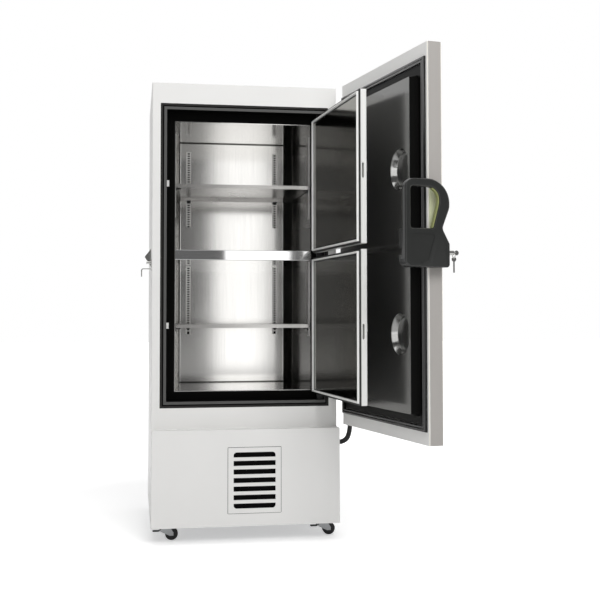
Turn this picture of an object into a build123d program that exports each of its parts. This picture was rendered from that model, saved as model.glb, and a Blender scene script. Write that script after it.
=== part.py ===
"""Upright ultra low temperature freezer: outer door, two inner doors, cold chamber and machine bay.

Millimetres, +Z up, front towards -Y, origin on the floor under the middle of the cabinet.
The doors are drawn shut and then swung about their hinges to the open rest pose.
"""

import os
from math import atan2, degrees, tan, radians

from build123d import *

os.makedirs("parts", exist_ok=True)

# Cabinet body
cabinet_width = 800.0
cabinet_depth = 770.0
cabinet_height = 1950.0
ledge_height = 472.0
panel_bottom = 69.0
sheet = 1.5
bend_radius = 5.0
rear_flange = 20.0
side_border = 36.0
top_border = 87.0
bottom_border = 88.0
overcut = 1.0

# Black breaker frame round the mouth
band_width = 27.0
hinge_band_width = 18.0
band_thickness = 5.0
groove_offset = 10.0
groove_width = 5.0
groove_depth = 3.0
rim_rise = 3.0
recess_depth = 70.0
recess_wall = 3.0
landing_width = 37.0

# Cold chamber
liner_edge = 3.0
liner_sheet = 1.2
rear_wall_depth = 152.0
liner_corner = 42.0
chamber_bend = 12.0
liner_flange = 15.0
coil_gap = 14.0
coil_size = 9.0
coil_loops = 5
coil_inset = 110.0
coil_bend = 42.0
divider_height = 44.0
divider_rise = 4.5
divider_corner_ease = 1.0
shelf_sheet = 1.5
shelf_lip = 16.0
shelf_gap = 4.0
shelf_front_gap = 8.0
shelf_upper_share = 0.518
shelf_lower_share = 0.506
standard_width = 24.0
standard_thickness = 3.0
standard_spacing = 424.0
upper_standard_share = 0.66
upper_standard_gap = 45.0
lower_standard_share = 0.58
lower_standard_gap = 4.0
standard_front_inset = 45.0
slot_pitch = 25.0
slot_height = 12.0
slot_width = 7.0
clip_width = 18.0
clip_reach = 22.0
clip_height = 12.0
clip_arm = 4.0

# Outer door
door_gap = 2.0
door_bottom_gap = 16.0
door_top_drop = 5.0
door_thickness = 58.0
door_seal_gap = 12.0
door_open = 101.1
door_axis_out = 28.0
door_axis_forward = 33.0
door_bend = 6.0
door_border = 52.0
gasket_width = 22.0
gasket_side_inset = 14.0
gasket_bottom_inset = 48.0
gasket_clear = 0.5
plug_rise = 38.0
plug_clear = 9.0
plug_taper = 9.0
plug_wall = 7.0
plug_flange_gap = 1.0
plug_flange_thickness = 3.0
plug_radius = 14.0
door_liner_sheet = 1.5
pocket_radius = 78.0
pocket_flat = 68.0
pocket_depth = 24.0
pocket_taper = 20.0
pocket_margin = 9.0
pocket_drop = 25.0
core_clear = 0.2
control_width = 230.0
control_height = 150.0
control_thickness = 5.0
control_drop = 385.0
control_recess = 2.0
control_rim = 12.0

# Outer hinges
hinge_low_rise = 168.0
hinge_top_drop = 160.0
hinge_plate = 4.0
hinge_plate_length = 80.0
hinge_plate_height = 90.0
hinge_set_back = 10.0
knuckle_radius = 10.0
knuckle_height = 34.0
hinge_pin_radius = 5.0
running_clearance = 0.05
knuckle_gap = 0.4
hinge_arm_height = 10.0
leaf_width = 46.0
leaf_height = 80.0

# Handle on the free edge of the outer door
handle_near = 58.0
handle_loop_thickness = 22.0
handle_clear = 6.0
handle_rear = 108.0
handle_pivot_drop = 26.5
handle_below = 67.0
handle_above = 247.0
handle_body_above = 71.0
handle_pivot_radius = 7.0
handle_cavity_wall = 12.0
handle_cavity_roof = 9.0
handle_cavity_front = 5.0
handle_cavity_floor = 10.0
handle_rear_wall = 9.0
handle_notch_room = 4.0
handle_edge = 6.0
handle_panel_depth = 2.5
handle_rib_top = 26.0
handle_rib_slope = 0.309
handle_rib_half = 9.0
handle_panel_rear = 83.0
handle_panel_above = 51.0
handle_panel_below = 43.0
handle_panel_round = 10.0
handle_hole_radius = 3.0
handle_hole_back = 45.0
handle_hole_below = 50.0
handle_waist = 41.0
handle_neck_above = 145.0
handle_shoulder_above = 17.0
handle_round = (30.0, 34.0, 86.0, 60.0, 22.0, 14.0, 12.0)
loop_rear = 84.0
loop_front = 27.0
loop_neck_above = 160.0
loop_toe = 3.0
loop_roof = 29.0
loop_round = (9.0, 9.0, 44.0, 40.0, 9.0)
grip_thickness = 4.0
grip_clear = 0.1
handle_base_thickness = 4.5
handle_base_width = 50.0
handle_base_below = 60.0
handle_base_above = 235.0
hook_thickness = 6.0
hook_arm_drop = 27.0
hook_jaw_length = 16.0
hook_jaw_drop = 47.0
lock_radius = 9.0
lock_length = 34.0
lock_depth = 16.0
lock_below = 14.0
lock_inset = 14.0
key_neck_radius = 2.5
key_neck_length = 5.0
key_ring_radius = 11.0
key_wire = 1.2
key_hang_gap = 0.3
key_bow_radius = 9.0
key_hole_radius = 2.0
key_thickness = 2.2
key_blade_length = 34.0
key_blade_width = 5.0
key_sides = 12

# Striker on the left side of the cabinet
striker_y = 50.0
striker_below = 10.0
striker_pin_radius = 5.0
striker_pin_length = 18.0
striker_plate = 3.0
striker_plate_width = 28.0
striker_plate_low = 30.0
striker_plate_high = 18.0
striker_head_radius = 8.0
striker_head_length = 4.0
rod_radius = 2.5
rod_reach = 41.0
rod_drop = 34.0
rod_below_pin = 24.0
rod_behind_pin = 72.0
rod_bend = 7.0
rod_foot = 20.0
lug_reach = 28.0
lug_low = 7.0
lug_peak = 53.0
lug_high = 89.0
lug_thickness = 14.0
lug_round = 4.0
lug_behind_foot = 8.0

# Inner doors
inner_door_open = 95.7
inner_thickness = 30.0
inner_seal_gap = 8.0
inner_free_gap = 15.0
inner_hinge_gap = 13.0
inner_bottom_gap = 26.0
inner_top_gap = 20.0
inner_between = 22.0
inner_axis_inset = 6.0
inner_pin_radius = 3.0
inner_pin_length = 14.0
inner_pin_depth = 15.0
inner_border = 8.0
inner_gasket_width = 7.0
inner_seal_ease = 2.0
inner_skin_margin = 3.0
inner_seal_clear = 0.4
inner_edge = 3.0
skin_sheet = 1.5
skin_recess = 2.5
hinge_block_length = 28.0
hinge_block_depth = 16.0
hinge_block_clear = 0.4
latch_shaft_radius = 4.0
latch_inset = 34.0
cam_length = 44.0
cam_width = 11.0
cam_thickness = 6.0
cam_setback = 15.0
cam_room = 1.0
latch_lever_length = 40.0
latch_lever_width = 13.0
latch_lever_thickness = 6.0
latch_lever_gap = 5.0
strike_width = 11.0
strike_height = 26.0
strike_clear = 1.2
strike_front_gap = 2.0

# Machine bay
panel_proud = 70.0
grille_centre_x = 33.0
grille_centre_z = 260.0
grille_width = 224.0
grille_height = 274.0
grille_proud = 1.5
grille_gap = 2.0
grille_lap = 8.0
grille_lap_thickness = 2.0
grille_radius = 2.0
window_width = 178.0
window_radius = 14.0
grille_slots = 7
grille_slot_height = 21.0
grille_pitch = 35.6
filter_thickness = 12.0
base_thickness = 3.0
base_rail = 30.0
base_rail_thickness = 3.0
base_inset = 4.0
louvre_count = 8
louvre_length = 300.0
louvre_height = 9.0
louvre_pitch = 24.0
condenser_side_gap = 53.0
condenser_height = 300.0
condenser_depth = 55.0
condenser_set_back = 28.0
condenser_fins = 12
fin_gap = 12.0
fin_groove = 12.0
shroud_depth = 45.0
shroud_sheet = 2.0
fan_hole_margin = 12.0
fan_tip_gap = 8.0
fan_hub_radius = 32.0
fan_hub_length = 26.0
fan_blades_count = 5
fan_blade_chord = 70.0
fan_blade_thickness = 3.0
fan_blade_pitch = 22.0
fan_set_back = 8.0
motor_radius = 45.0
motor_length = 60.0
motor_shaft_radius = 4.0
motor_bar_height = 46.0
motor_bar_thickness = 6.0
shaft_hole_clear = 2.0
compressor_radius = 88.0
compressor_height = 235.0
compressor_dome = 34.0
compressor_side_inset = 200.0
compressor_set_back = 295.0
compressor_foot = 12.0
exchanger_width = 150.0
exchanger_depth = 130.0
exchanger_height = 330.0
exchanger_set_back = 115.0
line_radius = 5.0
tube_sides = 8
line_rise = 45.0
line_bend = 26.0
control_box_width = 150.0
control_box_depth = 150.0
control_box_height = 250.0
control_box_inset = 30.0
inlet_width = 48.0
inlet_height = 40.0
inlet_depth = 18.0
inlet_well = 10.0
inlet_side_inset = 100.0
inlet_z = 130.0

# Casters
caster_side_inset = 60.0
caster_front_inset = 44.0
caster_rear_inset = 60.0
caster_trail = 30.0
wheel_radius = 27.0
wheel_width = 22.0
axle_radius = 4.0
caster_plate_size = 66.0
caster_plate_thickness = 4.0
kingpin_radius = 6.0
fork_clear = 0.3
fork_sheet = 3.0
fork_wheel_gap = 1.5
crown_radius = 20.0
crown_thickness = 4.0
crown_sides = 12
pedal_reach = 50.0
pedal_pivot_back = 16.0
pedal_pivot_z = 46.0
pedal_width = 18.0
pedal_thickness = 5.0
pedal_pin_radius = 2.5

# Door harness hose, from the side of the bay up to the gland on the hinge edge of the door
hose_radius = 11.0
gland_out = 20.0
gland_forward = 55.0
gland_height = 30.0
gland_wall = 5.0
gland_bottom_gap = 12.0
hose_gap = 0.3
hose_start_back = 30.0
hose_start_drop = 72.0
hose_reach = 32.0
hose_turn_drop = 52.0
hose_turn_share = 0.45

# Derived places
half_width = cabinet_width / 2
front_y = -cabinet_depth / 2
back_y = cabinet_depth / 2
frame_half = half_width - side_border
frame_top = cabinet_height - top_border
frame_bottom = ledge_height + bottom_border
recess_left = -(frame_half - band_width)
recess_right = frame_half - hinge_band_width
recess_top = frame_top - band_width
recess_bottom = frame_bottom + band_width
landing_y = front_y + recess_depth
mouth_half = frame_half - band_width - landing_width
mouth_top = recess_top - landing_width
mouth_bottom = recess_bottom + landing_width
chamber_half = mouth_half - liner_edge
chamber_top = mouth_top - liner_edge
chamber_bottom = mouth_bottom + liner_edge
liner_front_y = landing_y + recess_wall
liner_back_y = back_y - rear_wall_depth
divider_centre = (chamber_top + chamber_bottom) / 2 + divider_rise
divider_low = divider_centre - divider_height / 2
divider_high = divider_centre + divider_height / 2
shelf_upper_top = divider_high + shelf_upper_share * (chamber_top - divider_high)
shelf_lower_top = chamber_bottom + shelf_lower_share * (divider_low - chamber_bottom)
hinge_heights = (ledge_height + hinge_low_rise, cabinet_height - hinge_top_drop)

door_half = half_width - door_gap
door_inner_y = front_y - door_seal_gap
door_front_y = door_inner_y - door_thickness
door_bottom = ledge_height + door_bottom_gap
door_top = cabinet_height - door_top_drop
door_axis_x = half_width + door_axis_out
door_axis_y = front_y - door_axis_forward
plug_half = -recess_left - plug_clear
plug_top = recess_top - plug_clear
plug_bottom = recess_bottom + plug_clear
plug_mid_z = (plug_top + plug_bottom) / 2
plug_height = plug_top - plug_bottom
plug_y = door_inner_y + plug_rise
control_centre_z = door_top - control_drop
handle_pivot_z = (door_bottom + door_top) / 2 - handle_pivot_drop
handle_bottom_z = handle_pivot_z - handle_below
handle_top_z = handle_pivot_z + handle_above
handle_body_top_z = handle_pivot_z + handle_body_above
lock_z = handle_pivot_z - lock_below
striker_pin_z = handle_pivot_z - striker_below

inner_rear_y = landing_y - inner_seal_gap
inner_front_y = inner_rear_y - inner_thickness
inner_free_x = recess_left + inner_free_gap
inner_hinge_x = recess_right - inner_hinge_gap
inner_axis_x = inner_hinge_x - inner_axis_inset
inner_axis_y = inner_front_y + inner_axis_inset
inner_levels = (
    ("upper", divider_centre + inner_between / 2, recess_top - inner_top_gap),
    ("lower", recess_bottom + inner_bottom_gap, divider_centre - inner_between / 2),
)
latch_heights = [(low + high) / 2 for _, low, high in inner_levels]
latch_x = inner_free_x + latch_inset
cam_mid_y = inner_front_y + cam_setback

panel_front_y = front_y - panel_proud
base_low = panel_bottom - base_thickness
bay_y = panel_front_y + sheet
control_box_xs = (-half_width + control_box_inset, -half_width + control_box_inset + control_box_width)
condenser_width = 2 * (grille_centre_x - control_box_xs[1] - condenser_side_gap)
fan_hole_radius = min(condenser_width, condenser_height) / 2 - fan_hole_margin
fan_radius = fan_hole_radius - fan_tip_gap
compressor_x = half_width - compressor_side_inset
compressor_y = back_y - compressor_set_back
exchanger_y = back_y - exchanger_set_back
inlet_x = half_width - inlet_side_inset
caster_x = half_width - caster_side_inset
gland_x = half_width + gland_out
hose_start_z = ledge_height - hose_start_drop
hose_turn_z = ledge_height - hose_turn_drop

door_pin = Pos(door_axis_x, door_axis_y, 0)
door_swing = door_pin * Rot(0, 0, door_open) * door_pin.inverse()
inner_pin = Pos(inner_axis_x, inner_axis_y, 0)
inner_swing = inner_pin * Rot(0, 0, inner_door_open) * inner_pin.inverse()
door_frame = Plane(door_swing)
inner_frame = Plane(inner_swing)


def plan_view(z):
    """Sketch plane seen from above, with X and Y as drawn."""
    return Plane.XY.offset(z)


def front_view(y):
    """Sketch plane seen from the front, with X and Z as drawn; extruding goes forward."""
    return Plane.XZ.offset(-y)


def side_view(x):
    """Sketch plane seen from the right, with Y and Z as drawn; extruding goes to +X."""
    return Plane.YZ.offset(x)


def swung(swing, plane):
    """The same plane after a door's swing."""
    return Plane(swing * plane.location)


def block(xs, ys, zs, mode=Mode.ADD):
    """A box between two X, two Y and two Z places."""
    with Locations(((xs[0] + xs[1]) / 2, (ys[0] + ys[1]) / 2, (zs[0] + zs[1]) / 2)):
        Box(xs[1] - xs[0], ys[1] - ys[0], zs[1] - zs[0], mode=mode)


def chamber_outline(grow, front):
    """Plan points of the cold chamber, its rear corners cut off, grown outwards evenly."""
    half = chamber_half + grow
    back = liner_back_y + grow
    corner = liner_corner + grow * (2 - 2**0.5)
    return [(-half, front), (-half, back - corner), (-half + corner, back),
            (half - corner, back), (half, back - corner), (half, front)]


def chamber_prism(grow, front, low, high, mode=Mode.ADD, ease=0.0):
    """A column with the chamber's plan, its rear corners bent to a radius."""
    with BuildSketch(plan_view(low)) as plan:
        with BuildLine():
            Polyline(*chamber_outline(grow, front), close=True)
        make_face()
        fillet(plan.vertices().sort_by(Axis.Y)[2:], chamber_bend + grow + ease)
    extrude(plan.sketch, amount=high - low, mode=mode)


def save(part, name):
    """Label one finished piece and write it."""
    part.label = name
    export_step(part, f"parts/{name}.step")


# Outer cabinet wrap: sides, top, front face frame and the deck above the machine bay
with BuildPart() as cabinet_shell:
    with BuildSketch(plan_view(panel_bottom)):
        RectangleRounded(cabinet_width, cabinet_depth, bend_radius)
    extrude(amount=cabinet_height - panel_bottom)
    with BuildSketch(plan_view(panel_bottom)):
        RectangleRounded(cabinet_width - 2 * sheet, cabinet_depth - 2 * sheet, bend_radius - sheet)
    extrude(amount=cabinet_height - panel_bottom - sheet, mode=Mode.SUBTRACT)
    cut_front = (front_y - overcut, front_y + bend_radius)
    block((-frame_half, frame_half), cut_front, (frame_bottom, frame_top), Mode.SUBTRACT)
    block((-half_width + bend_radius, half_width - bend_radius), cut_front,
          (panel_bottom, ledge_height), Mode.SUBTRACT)
    cut_back = (back_y - sheet - overcut, back_y + overcut)
    block((-half_width + rear_flange, half_width - rear_flange), cut_back,
          (panel_bottom, cabinet_height - rear_flange), Mode.SUBTRACT)
    with BuildSketch(plan_view(ledge_height)):
        RectangleRounded(cabinet_width - 2 * sheet, cabinet_depth - 2 * sheet, bend_radius - sheet)
    extrude(amount=sheet)
save(cabinet_shell.part, "cabinet_shell")

# Rear skin of the cold box
with BuildPart() as rear_panel:
    block((-half_width + sheet, half_width - sheet), (back_y, back_y + sheet),
          (ledge_height, cabinet_height - sheet))
    fillet(rear_panel.edges().filter_by(Axis.Y), bend_radius)
save(rear_panel.part, "rear_panel")

# Louvred cover over the back of the machine bay
with BuildPart() as bay_rear_cover:
    block((-half_width + sheet, half_width - sheet), (back_y, back_y + sheet),
          (panel_bottom, ledge_height - sheet))
    fillet(bay_rear_cover.edges().filter_by(Axis.Y), bend_radius)
    louvre_mid = (panel_bottom + ledge_height) / 2
    with BuildSketch(front_view(back_y + sheet + overcut)):
        with Locations((0, louvre_mid)):
            with GridLocations(0, louvre_pitch, 1, louvre_count):
                Rectangle(louvre_length, louvre_height)
    extrude(amount=sheet + 2 * overcut, mode=Mode.SUBTRACT)
save(bay_rear_cover.part, "bay_rear_cover")

# Foamed insulation between the wrap and the chamber
with BuildPart() as insulation:
    with BuildSketch(plan_view(ledge_height + sheet)):
        RectangleRounded(cabinet_width - 2 * sheet, cabinet_depth - 2 * sheet, bend_radius - sheet)
    extrude(amount=cabinet_height - ledge_height - 2 * sheet)
    front_reach = (front_y - overcut, front_y + band_thickness)
    block((-frame_half, frame_half), front_reach, (frame_bottom, frame_top), Mode.SUBTRACT)
    block((recess_left - recess_wall, recess_right + recess_wall), (front_y, landing_y + recess_wall),
          (recess_bottom - recess_wall, recess_top + recess_wall), Mode.SUBTRACT)
    block((-chamber_half - liner_flange, chamber_half + liner_flange),
          (landing_y, liner_front_y + liner_sheet),
          (chamber_bottom - liner_flange, chamber_top + liner_flange), Mode.SUBTRACT)
    coil_room = liner_sheet + coil_gap
    block((-chamber_half - coil_room, chamber_half + coil_room),
          (liner_front_y + coil_inset / 2, liner_back_y + coil_room),
          (chamber_bottom - liner_sheet, chamber_top + liner_sheet), Mode.SUBTRACT)
    chamber_prism(liner_sheet, landing_y, chamber_bottom - liner_sheet, chamber_top + liner_sheet,
                  Mode.SUBTRACT)
save(insulation.part, "insulation")

# Stainless cold chamber
with BuildPart() as inner_liner:
    chamber_prism(liner_sheet, liner_front_y, chamber_bottom - liner_sheet, chamber_top + liner_sheet)
    block((-chamber_half - liner_flange, chamber_half + liner_flange),
          (liner_front_y, liner_front_y + liner_sheet),
          (chamber_bottom - liner_flange, chamber_top + liner_flange))
    chamber_prism(0, liner_front_y - overcut, chamber_bottom, chamber_top, Mode.SUBTRACT)
save(inner_liner.part, "inner_liner")

# Evaporator tube wound round the outside of the chamber
coil_half = chamber_half + liner_sheet + coil_size / 2
coil_back = liner_back_y + liner_sheet + coil_size / 2
coil_front = liner_front_y + coil_inset
coil_low = chamber_bottom + coil_inset
coil_step = (chamber_top - chamber_bottom - 2 * coil_inset) / (coil_loops - 1)
coil_points = []
for loop in range(coil_loops):
    z = coil_low + loop * coil_step
    side = 1 if loop % 2 == 0 else -1
    coil_points += [(side * coil_half, coil_front, z), (side * coil_half, coil_back, z)]
    coil_points += [(-side * coil_half, coil_back, z), (-side * coil_half, coil_front, z)]
with BuildPart() as evaporator_coil:
    with BuildLine() as coil_path:
        FilletPolyline(*coil_points, radius=coil_bend)
    with BuildSketch(Plane(origin=coil_points[0], x_dir=(1, 0, 0), z_dir=(0, 1, 0))):
        Rectangle(coil_size - 2 * running_clearance, coil_size - 2 * running_clearance)
    sweep(path=coil_path.line)
save(evaporator_coil.part, "evaporator_coil")

# Black breaker frame: front band with a groove, recess wall and landing for the inner doors
with BuildPart() as breaker_frame:
    block((-frame_half, frame_half), (front_y, front_y + band_thickness), (frame_bottom, frame_top))
    block((recess_left - recess_wall, recess_right + recess_wall), (front_y, landing_y + recess_wall),
          (recess_bottom - recess_wall, recess_top + recess_wall))
    block((recess_left, recess_right), (front_y - overcut, landing_y), (recess_bottom, recess_top),
          Mode.SUBTRACT)
    block((-mouth_half, mouth_half), (front_y, landing_y + recess_wall + overcut),
          (mouth_bottom, mouth_top), Mode.SUBTRACT)
    frame_mid_z = (frame_top + frame_bottom) / 2
    groove_outer = frame_half - groove_offset
    groove_tall = (frame_top - frame_bottom) / 2 - groove_offset
    with BuildSketch(front_view(front_y + groove_depth)):
        with Locations((0, frame_mid_z)):
            Rectangle(2 * groove_outer, 2 * groove_tall)
            Rectangle(2 * (groove_outer - groove_width), 2 * (groove_tall - groove_width),
                      mode=Mode.SUBTRACT)
    extrude(amount=groove_depth + overcut, mode=Mode.SUBTRACT)
    rim_half = groove_outer - groove_width
    rim_tall = groove_tall - groove_width
    with BuildSketch(front_view(front_y)):
        with Locations((0, frame_mid_z)):
            Rectangle(2 * rim_half, 2 * rim_tall)
        with Locations(((recess_left + recess_right) / 2, frame_mid_z)):
            Rectangle(recess_right - recess_left, recess_top - recess_bottom, mode=Mode.SUBTRACT)
    extrude(amount=rim_rise)
save(breaker_frame.part, "breaker_frame")

# Insulated mullion between the two compartments
with BuildPart() as mid_divider:
    chamber_prism(0, landing_y, divider_low, divider_high, ease=divider_corner_ease)
    fillet(mid_divider.faces().sort_by(Axis.Y)[0].edges().filter_by(Axis.X), inner_edge)
save(mid_divider.part, "mid_divider")

# Sheet shelves with turned down lips
for name, top in (("shelf_upper", shelf_upper_top), ("shelf_lower", shelf_lower_top)):
    with BuildPart() as shelf:
        shelf_front = liner_front_y + shelf_front_gap
        chamber_prism(-shelf_gap, shelf_front, top - shelf_lip, top)
        chamber_prism(-shelf_gap - shelf_sheet, shelf_front + shelf_sheet, top - shelf_lip - overcut,
                      top - shelf_sheet, Mode.SUBTRACT)
    save(shelf.part, name)

# Slotted shelf standards: two on the back wall and one near the front of each side wall
compartments = ((divider_high, chamber_top), (chamber_bottom, divider_low))
standard_runs = ((upper_standard_gap, upper_standard_share),
                 (lower_standard_gap, lower_standard_share))
side_standard_y = liner_front_y + standard_front_inset
with BuildPart() as shelf_standards:
    for (floor_z, roof_z), (top_gap, share) in zip(compartments, standard_runs):
        top = roof_z - top_gap
        low = top - share * (roof_z - floor_z)
        mid = (top + low) / 2
        slots_per_standard = int((top - low - slot_height) / slot_pitch)
        for x in (-standard_spacing / 2, standard_spacing / 2):
            block((x - standard_width / 2, x + standard_width / 2),
                  (liner_back_y - standard_thickness, liner_back_y), (low, top))
        for side in (-1, 1):
            wall = sorted((side * chamber_half, side * (chamber_half - standard_thickness)))
            block(wall, (side_standard_y - standard_width / 2, side_standard_y + standard_width / 2),
                  (low, top))
        with BuildSketch(front_view(liner_back_y + overcut)):
            with Locations((0, mid)):
                with GridLocations(standard_spacing, slot_pitch, 2, slots_per_standard):
                    Rectangle(slot_width, slot_height)
        extrude(amount=standard_thickness + 2 * overcut, mode=Mode.SUBTRACT)
        with BuildSketch(side_view(-half_width)):
            with Locations((side_standard_y, mid)):
                with GridLocations(0, slot_pitch, 1, slots_per_standard):
                    Rectangle(slot_width, slot_height)
        extrude(amount=cabinet_width, mode=Mode.SUBTRACT)
save(shelf_standards.part, "shelf_standards")

# Clips hooked on the standards under each shelf
with BuildPart() as shelf_clips:
    for top in (shelf_upper_top, shelf_lower_top):
        seat = top - shelf_lip
        for side in (-1, 1):
            x = side * standard_spacing / 2
            rear = liner_back_y - standard_thickness
            block((x - clip_width / 2, x + clip_width / 2), (rear - clip_reach, rear),
                  (seat - clip_arm, seat))
            block((x - clip_width / 2, x + clip_width / 2), (rear - clip_arm, rear),
                  (seat - clip_height, seat))
            near = side * (chamber_half - standard_thickness)
            depth = (side_standard_y - clip_width / 2, side_standard_y + clip_width / 2)
            block(sorted((near, near - side * clip_reach)), depth, (seat - clip_arm, seat))
            block(sorted((near, near - side * clip_arm)), depth, (seat - clip_height, seat))
save(shelf_clips.part, "shelf_clips")

# Strike blocks for the inner door latches, on the left wall of the recess
with BuildPart() as latch_strikes:
    strike_back = cam_mid_y - cam_thickness / 2 - strike_clear
    strike_front = inner_front_y - strike_front_gap
    for z in latch_heights:
        block((recess_left, recess_left + strike_width), (strike_front, strike_back),
              (z - strike_height / 2, z + strike_height / 2))
    fillet(latch_strikes.edges().filter_by(Axis.Z).group_by(Axis.X)[-1], strike_clear)
save(latch_strikes.part, "latch_strikes")

# Hinge blocks for the inner doors, with their pins, on the right wall of the recess
with BuildPart() as inner_hinge_blocks:
    block_xs = (recess_right - hinge_block_length, recess_right)
    block_ys = (inner_axis_y - hinge_block_depth / 2, inner_axis_y + hinge_block_depth / 2)
    upper_low, upper_high = inner_levels[0][1:]
    lower_low, lower_high = inner_levels[1][1:]
    block(block_xs, block_ys, (upper_high + hinge_block_clear, recess_top))
    block(block_xs, block_ys, (lower_high + hinge_block_clear, upper_low - hinge_block_clear))
    block(block_xs, block_ys, (recess_bottom, lower_low - hinge_block_clear))
    pin_starts = ((upper_high, -1), (upper_low, 1), (lower_high, -1), (lower_low, 1))
    for z, way in pin_starts:
        root = z - way * hinge_block_clear
        with Locations((inner_axis_x, inner_axis_y, root + way * inner_pin_length / 2)):
            Cylinder(inner_pin_radius, inner_pin_length)
save(inner_hinge_blocks.part, "inner_hinge_blocks")

# Striker on the left side: plate, headed pin, a bent rod behind it and a wedge lug over the rod
pin_y = front_y + striker_y
striker_end_x = -half_width - striker_plate - striker_pin_length
with BuildPart() as door_striker:
    with BuildSketch(side_view(-half_width)):
        with Locations((pin_y, striker_pin_z + (striker_plate_high - striker_plate_low) / 2)):
            RectangleRounded(striker_plate_width, striker_plate_high + striker_plate_low,
                             striker_head_radius)
    extrude(amount=-striker_plate)
    with BuildSketch(side_view(-half_width)):
        with Locations((pin_y, striker_pin_z)):
            Circle(striker_pin_radius)
    extrude(amount=-striker_plate - striker_pin_length)
    with BuildSketch(side_view(striker_end_x)):
        with Locations((pin_y, striker_pin_z)):
            Circle(striker_head_radius)
    extrude(amount=striker_head_length)
    rod_z = striker_pin_z - rod_below_pin
    rod_x = -half_width - rod_reach
    rod_y = pin_y + rod_behind_pin
    block((-half_width - striker_plate, -half_width), (pin_y, rod_y + rod_foot / 2),
          (rod_z - rod_foot / 2, rod_z + rod_foot / 2))
    with BuildLine() as rod_path:
        FilletPolyline((-half_width - striker_plate / 2, rod_y, rod_z), (rod_x, rod_y, rod_z),
                       (rod_x, rod_y, rod_z - rod_drop), radius=rod_bend)
    with BuildSketch(Plane(origin=rod_path.line @ 0, z_dir=(-1, 0, 0))):
        RegularPolygon(rod_radius, tube_sides)
    sweep(path=rod_path.line)
    with BuildSketch(front_view(rod_y + rod_foot / 2 + lug_behind_foot)):
        with BuildLine():
            Polyline((-half_width, rod_z + lug_low), (-half_width, rod_z + lug_high),
                     (-half_width - lug_reach, rod_z + lug_peak), close=True)
        lug_face = make_face()
        fillet(lug_face.vertices().sort_by(Axis.X)[0], lug_round)
    extrude(amount=lug_thickness)
save(door_striker.part, "door_striker")

# Fixed half of the outer hinges: side plate, arm, knuckle and pin
arm_back_y = front_y + hinge_set_back
with BuildPart() as hinge_brackets:
    for z in hinge_heights:
        low = z - knuckle_height
        block((half_width, half_width + hinge_plate), (arm_back_y, arm_back_y + hinge_plate_length),
              (low, low + hinge_plate_height))
        block((half_width, door_axis_x + knuckle_radius),
              (arm_back_y, arm_back_y + 2 * knuckle_radius), (low, low + hinge_arm_height))
        block((door_axis_x - knuckle_radius, door_axis_x + knuckle_radius), (door_axis_y, arm_back_y),
              (low, low + hinge_arm_height))
        with Locations((door_axis_x, door_axis_y, low + knuckle_height / 2)):
            Cylinder(knuckle_radius, knuckle_height)
        with Locations((door_axis_x, door_axis_y, z + knuckle_height / 2)):
            Cylinder(hinge_pin_radius, knuckle_height)
save(hinge_brackets.part, "hinge_brackets")

# Proud front panel of the machine bay: front, sides, ledge and bottom return
window_height = grille_pitch * (grille_slots - 1) + grille_slot_height
with BuildPart() as lower_front_panel:
    panel_size = (cabinet_width, panel_proud)
    with BuildSketch(plan_view(panel_bottom)):
        with Locations((0, front_y - panel_proud / 2)):
            Rectangle(*panel_size)
        fillet(vertices().group_by(Axis.Y)[0], bend_radius)
    extrude(amount=ledge_height - panel_bottom)
    block((-half_width + sheet, half_width - sheet), (bay_y, front_y + overcut),
          (panel_bottom + sheet, ledge_height - sheet), Mode.SUBTRACT)
    block((-half_width + rear_flange, half_width - rear_flange), (bay_y + rear_flange, front_y + overcut),
          (panel_bottom - overcut, panel_bottom + sheet), Mode.SUBTRACT)
    with BuildSketch(front_view(bay_y + overcut)):
        with Locations((grille_centre_x, grille_centre_z)):
            RectangleRounded(grille_width + 2 * grille_gap, grille_height + 2 * grille_gap,
                             grille_radius + grille_gap)
    extrude(amount=sheet + 2 * overcut, mode=Mode.SUBTRACT)
save(lower_front_panel.part, "lower_front_panel")

# Framed air intake grille set into the panel from behind, with a column of slots
grille_back_y = bay_y + grille_lap_thickness
with BuildPart() as filter_grille:
    with BuildSketch(front_view(bay_y)):
        with Locations((grille_centre_x, grille_centre_z)):
            RectangleRounded(grille_width, grille_height, grille_radius)
    extrude(amount=sheet + grille_proud)
    with BuildSketch(front_view(grille_back_y)):
        with Locations((grille_centre_x, grille_centre_z)):
            Rectangle(grille_width + 2 * grille_lap, grille_height + 2 * grille_lap)
    extrude(amount=grille_lap_thickness)
    with BuildSketch(front_view(grille_back_y + overcut)):
        with Locations((grille_centre_x, grille_centre_z)):
            RectangleRounded(window_width, window_height, window_radius)
            with GridLocations(0, grille_pitch, 1, grille_slots - 1):
                Rectangle(window_width, grille_pitch - grille_slot_height, mode=Mode.SUBTRACT)
    extrude(amount=grille_lap_thickness + sheet + grille_proud + 2 * overcut, mode=Mode.SUBTRACT)
save(filter_grille.part, "filter_grille")

# Washable filter mat behind the grille
with BuildPart() as air_filter:
    with BuildSketch(front_view(grille_back_y + filter_thickness)):
        with Locations((grille_centre_x, grille_centre_z)):
            Rectangle(grille_width, grille_height)
    extrude(amount=filter_thickness)
save(air_filter.part, "air_filter")

# Base pan with side rails that carries the machinery and the casters
with BuildPart() as base_frame:
    base_xs = (-half_width + base_inset, half_width - base_inset)
    base_ys = (bay_y + rear_flange + base_inset, back_y - base_inset)
    block(base_xs, base_ys, (base_low, panel_bottom))
    for side in (-1, 1):
        rail = sorted((side * base_xs[1], side * (base_xs[1] - base_rail_thickness)))
        block(rail, (front_y + base_inset, base_ys[1]), (panel_bottom, panel_bottom + base_rail))
save(base_frame.part, "base_frame")

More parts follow.
